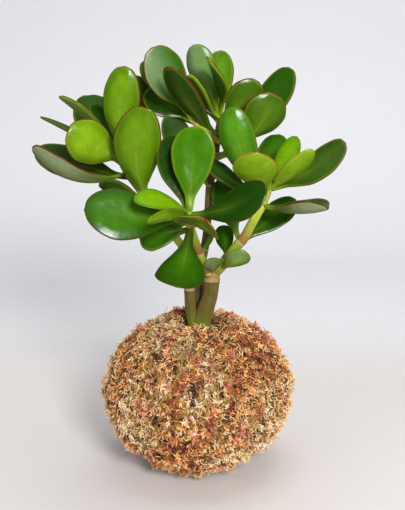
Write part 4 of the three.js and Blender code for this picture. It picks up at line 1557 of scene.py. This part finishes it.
    def _curls(self, skin: Skin, draw: np.random.Generator, sector: int) -> None:
        """Add the thin wandering strands of one sector, a fifth of them loose.

        Args:
            skin: takes the forms.
            draw: the source of chance.
            sector: which part of the ball.
        """
        like, count = self.curl, self._share(self.curls)
        last = len(like.widths) - 1
        direction = self._scatter(draw, sector, count)
        loose = draw.uniform(0, 1, count) > like.tucked
        length, bend = draw.uniform(*like.length, count), draw.normal(0, like.bend, count)
        heading = draw.uniform(0, 2 * math.pi, count)
        start = 1.3 * clumps(direction, 11, 5.3) + draw.uniform(*like.height, count)
        lift = np.where(loose, draw.uniform(*like.loose_lift, count), draw.uniform(*like.tucked_lift, count))
        rows = []
        for share in np.arange(last + 1) / last:
            rows.append(self._place(direction, start + lift * share**1.4 - 0.8 * (1 - share) ** 2))
            first = unit(np.cross(direction, SLANT))
            move = hoop(heading, first, np.cross(direction, first))
            direction = unit(direction + move * (length / last / 55)[:, None])
            heading = heading + bend + draw.normal(0, like.wander, count)
        wide = draw.uniform(*like.width, count)[:, None] * np.array(like.widths)
        own = draw.uniform(*like.tone, count)
        self._blades(skin, ground_clear(np.stack(rows, 1)), wide, like.flat, own)

    def _blades(self, skin: Skin, path: np.ndarray, wide: np.ndarray, flat: float, own: np.ndarray) -> None:
        """Turn paths into thin closed three-sided forms that end in a point.

        Args:
            skin: takes the forms.
            path: the points of each, of shape (count, steps, 3).
            wide: half the width at each point.
            flat: thickness as a share of the width.
            own: a number for each, for its colour.
        """
        near = np.hypot(path[..., 0] - self.hole[0], path[..., 1] - self.hole[1])
        keep = ~np.any((near < self.hole_radius) & (path[..., 2] > self.hole_low), axis=1)
        path, wide, own = path[keep], wide[keep], own[keep]
        (count, steps), centre = path.shape[:2], [0, 0, self.shape.centre_z]
        outward = unit(path - centre)
        along = unit(np.gradient(path, axis=1))
        across = unit(np.cross(along, outward + 0.35 * np.sin(37 * own)[:, None, None]))
        over = np.cross(across, along)
        angle = np.array([0.5, 7 / 6, 11 / 6]) * np.pi
        ring = hoop(angle, across[:, :, None], flat * over[:, :, None])
        points = ground_clear(path[:, :, None] + wide[:, :, None, None] * ring)
        points = points.reshape(count, -1, 3)[:, :-2]
        last = steps * 3 - 3
        starts = (np.arange(count) * (last + 1))[:, None, None]
        quads = (ring_faces(steps - 1, 3)[None] + starts).reshape(-1, 4)
        ends = [[2, 1, 0], *([last - 3 + side, last - 3 + (side + 1) % 3, last] for side in range(3))]
        caps = (np.array(ends)[None] + starts).reshape(-1, 3)
        base = self.shape.distance(outward.reshape(-1, 3)).reshape(count, steps)
        height = np.linalg.norm(path - centre, axis=-1) - base
        strand = np.stack(np.broadcast_arrays(own[:, None], np.linspace(0, 1, steps), height), -1)
        strand = np.repeat(strand, 3, axis=1)[:, :-2]
        skin.add(points.reshape(-1, 3), [quads, caps], strand=strand.reshape(-1, 3))

    def _thread(self) -> None:
        """Make the thread: three loops half sunk in the moss, and two stretches that lie on it."""
        skin = Skin()
        for normal in self.shape.planes():
            first = unit(np.cross([0, 0, 1], normal))
            direction = hoop(circle(self.twist_steps), first, np.cross(normal, first))
            self._plies(skin, self.shape.place(direction, np.array([self.thread_height])), direction, True)
        for start, end in LOOSE_THREADS:
            share = np.linspace(0, 1, self.twist_steps // 8)[:, None]
            direction = unit(np.array(start) * (1 - share) + np.array(end) * share)
            height = self.loose_height - self.loose_drop * (2 * share[:, 0] - 1) ** 8
            self._plies(skin, self.shape.place(direction, height), direction, False)
        seat(skin.build("thread_plies", self.twine.material(self.effects)), "thread", "binding_thread")

    def _plies(self, skin: Skin, centre: np.ndarray, direction: np.ndarray, closed: bool) -> None:
        """Twist two thin plies round each other.

        Args:
            skin: takes the forms.
            centre: the points of the thread.
            direction: the outward direction at each point.
            closed: whether the thread ends where it starts.
        """
        sides, steps = self.ply_sides, len(centre)
        along = np.roll(centre, -1, axis=0) - np.roll(centre, 1, axis=0)
        if not closed:
            along[0], along[-1] = centre[1] - centre[0], centre[-1] - centre[-2]
        along = unit(along)
        outward = unit(direction - along * np.sum(direction * along, axis=1, keepdims=True))
        beside = np.cross(along, outward)
        turns = np.sum(np.linalg.norm(np.diff(centre, axis=0), axis=1)) / self.twist_pitch
        turns = round(turns) if closed else turns
        faces = [ring_faces(steps + 1, sides) % (steps * sides)]
        if not closed:
            ends = np.arange(sides)
            faces = [ring_faces(steps, sides), np.array([ends[::-1], (steps - 1) * sides + ends])]
        for ply in (0, math.pi):
            turn = np.linspace(0, 1, steps, endpoint=not closed) * turns * 2 * np.pi + ply
            middle = centre + self.ply * 0.8 * hoop(turn, outward, beside)
            rings = middle[:, None] + self.ply * hoop(circle(sides), outward[:, None], beside[:, None])
            skin.add(ground_clear(rings.reshape(-1, 3)), faces)

    def _husks(self) -> None:
        """Make the few smooth pink buds that lie among the sprigs."""
        ball, faces = globe(self.husk_detail)
        long, wide, high = ball.T[..., None]
        taper, (length, width, thick) = 1 - self.husk_taper * long, self.husk_size
        draw, skin = np.random.default_rng(self.husk_seed), Skin()
        for place in HUSKS:
            outward = unit(np.array(place, float))
            along = unit(np.cross(outward, draw.normal(0, 1, 3)))
            beside = np.cross(outward, along)
            scale = draw.uniform(*self.husk_scale)
            points = long * along * length + wide * beside * width * taper + high * outward * thick * taper
            middle = self._place(outward[None], np.array([self.husk_height]))
            skin.add(points * scale + middle, [faces])
        seat(skin.build("moss_buds", self.husk.material(self.effects)), "moss")


# ---------------------------------------------------------------- stage


@dataclass(frozen=True)
class Lamp:
    """A square soft light in metres and watts; only a mirrored one shows in glossy surfaces."""

    name: str
    at: Point
    aim: Point
    size: float
    power: float
    mirrored: bool = False

    def hang(self) -> None:
        """Add the light to the scene."""
        data = bpy.data.lights.new(self.name, "AREA")
        data.size, data.energy = self.size, self.power
        lamp = bpy.data.objects.new(self.name, data)
        lamp.location = self.at
        lamp.rotation_euler = (Vector(self.aim) - Vector(self.at)).to_track_quat("-Z", "Y").to_euler()
        lamp.visible_glossy = self.mirrored
        bpy.context.scene.collection.objects.link(lamp)


@dataclass
class Studio(Assembly):
    """A plain pale floor that rises into a backdrop, soft light and the camera."""

    paint: Paint = Paint("pale_paint", matt=0.8)
    lamps: tuple[Lamp, ...] = (
        Lamp("key", (0.4, -1.2, 0.74), (0, 0, 0.12), 0.36, 19.9, True),
        Lamp("fill", (-0.8, -0.7, 0.5), (0, 0, 0.15), 0.7, 1.7),
        Lamp("crown", (0.1, 0.1, 1.3), (0, 0.1, 0.1), 0.8, 6),
    )
    lens: float = 56.12
    sensor: float = 36
    camera_at: Point = (0.0025, -0.474, 0.239)
    pitch: float = 77.6
    depth: float = 0.55
    bend: float = 0.35
    top: float = 2.2
    half: float = 2.4
    sky: float = 0.3
    sky_mirrored: float = 0.03
    sky_tint: Colour = (0.93, 0.95, 1)

    def build(self) -> None:
        """Make the floor, the lights, the sky and the camera."""
        scene = bpy.context.scene
        self._floor()
        for lamp in self.lamps:
            lamp.hang()
        scene.world = bpy.data.worlds.new("sky")
        scene.world.use_nodes = True
        graph = Graph(scene.world.node_tree)
        sky = graph.tree.nodes["Background"]
        sky.inputs["Color"].default_value = (*self.sky_tint, 1)
        mirrored = graph.run("ShaderNodeLightPath", {}, "Is Glossy Ray")
        graph.feed(sky.inputs["Strength"], mirrored.scaled(self.sky_mirrored - self.sky, self.sky))

        data = bpy.data.cameras.new("view")
        data.lens, data.sensor_width = self.lens, self.sensor
        camera = bpy.data.objects.new("view", data)
        camera.location = self.camera_at
        camera.rotation_euler = (math.radians(self.pitch), 0, 0)
        scene.collection.objects.link(camera)
        scene.camera = camera
        scene.view_settings.view_transform = "Standard"

    def _floor(self) -> None:
        """Make the floor and the backdrop as one bent sheet."""
        angle = np.linspace(0, math.pi / 2, 24)
        y = np.array([-self.half, *(self.depth + self.bend * np.sin(angle)), self.depth + self.bend])
        z = np.array([0.0, *(self.bend * (1 - np.cos(angle))), self.top])
        edges = [np.stack([np.full(len(y), x), y, z], -1) for x in (-self.half, self.half)]
        row = np.arange(len(y) - 1)
        skin = Skin()
        sheet = np.stack([row, row + len(y), row + len(y) + 1, row + 1], -1)
        skin.add(np.concatenate(edges) / MM, [sheet])
        skin.build("floor", self.paint.material(self.effects))


def main() -> None:
    """Build the plant, the ball and the stage."""
    logging.basicConfig(level=logging.INFO, format="%(message)s")
    effects = Effects()
    for assembly in (Studio, Stems, Leaves, MossBall):
        assembly(effects).build()


if __name__ == "__main__":
    main()
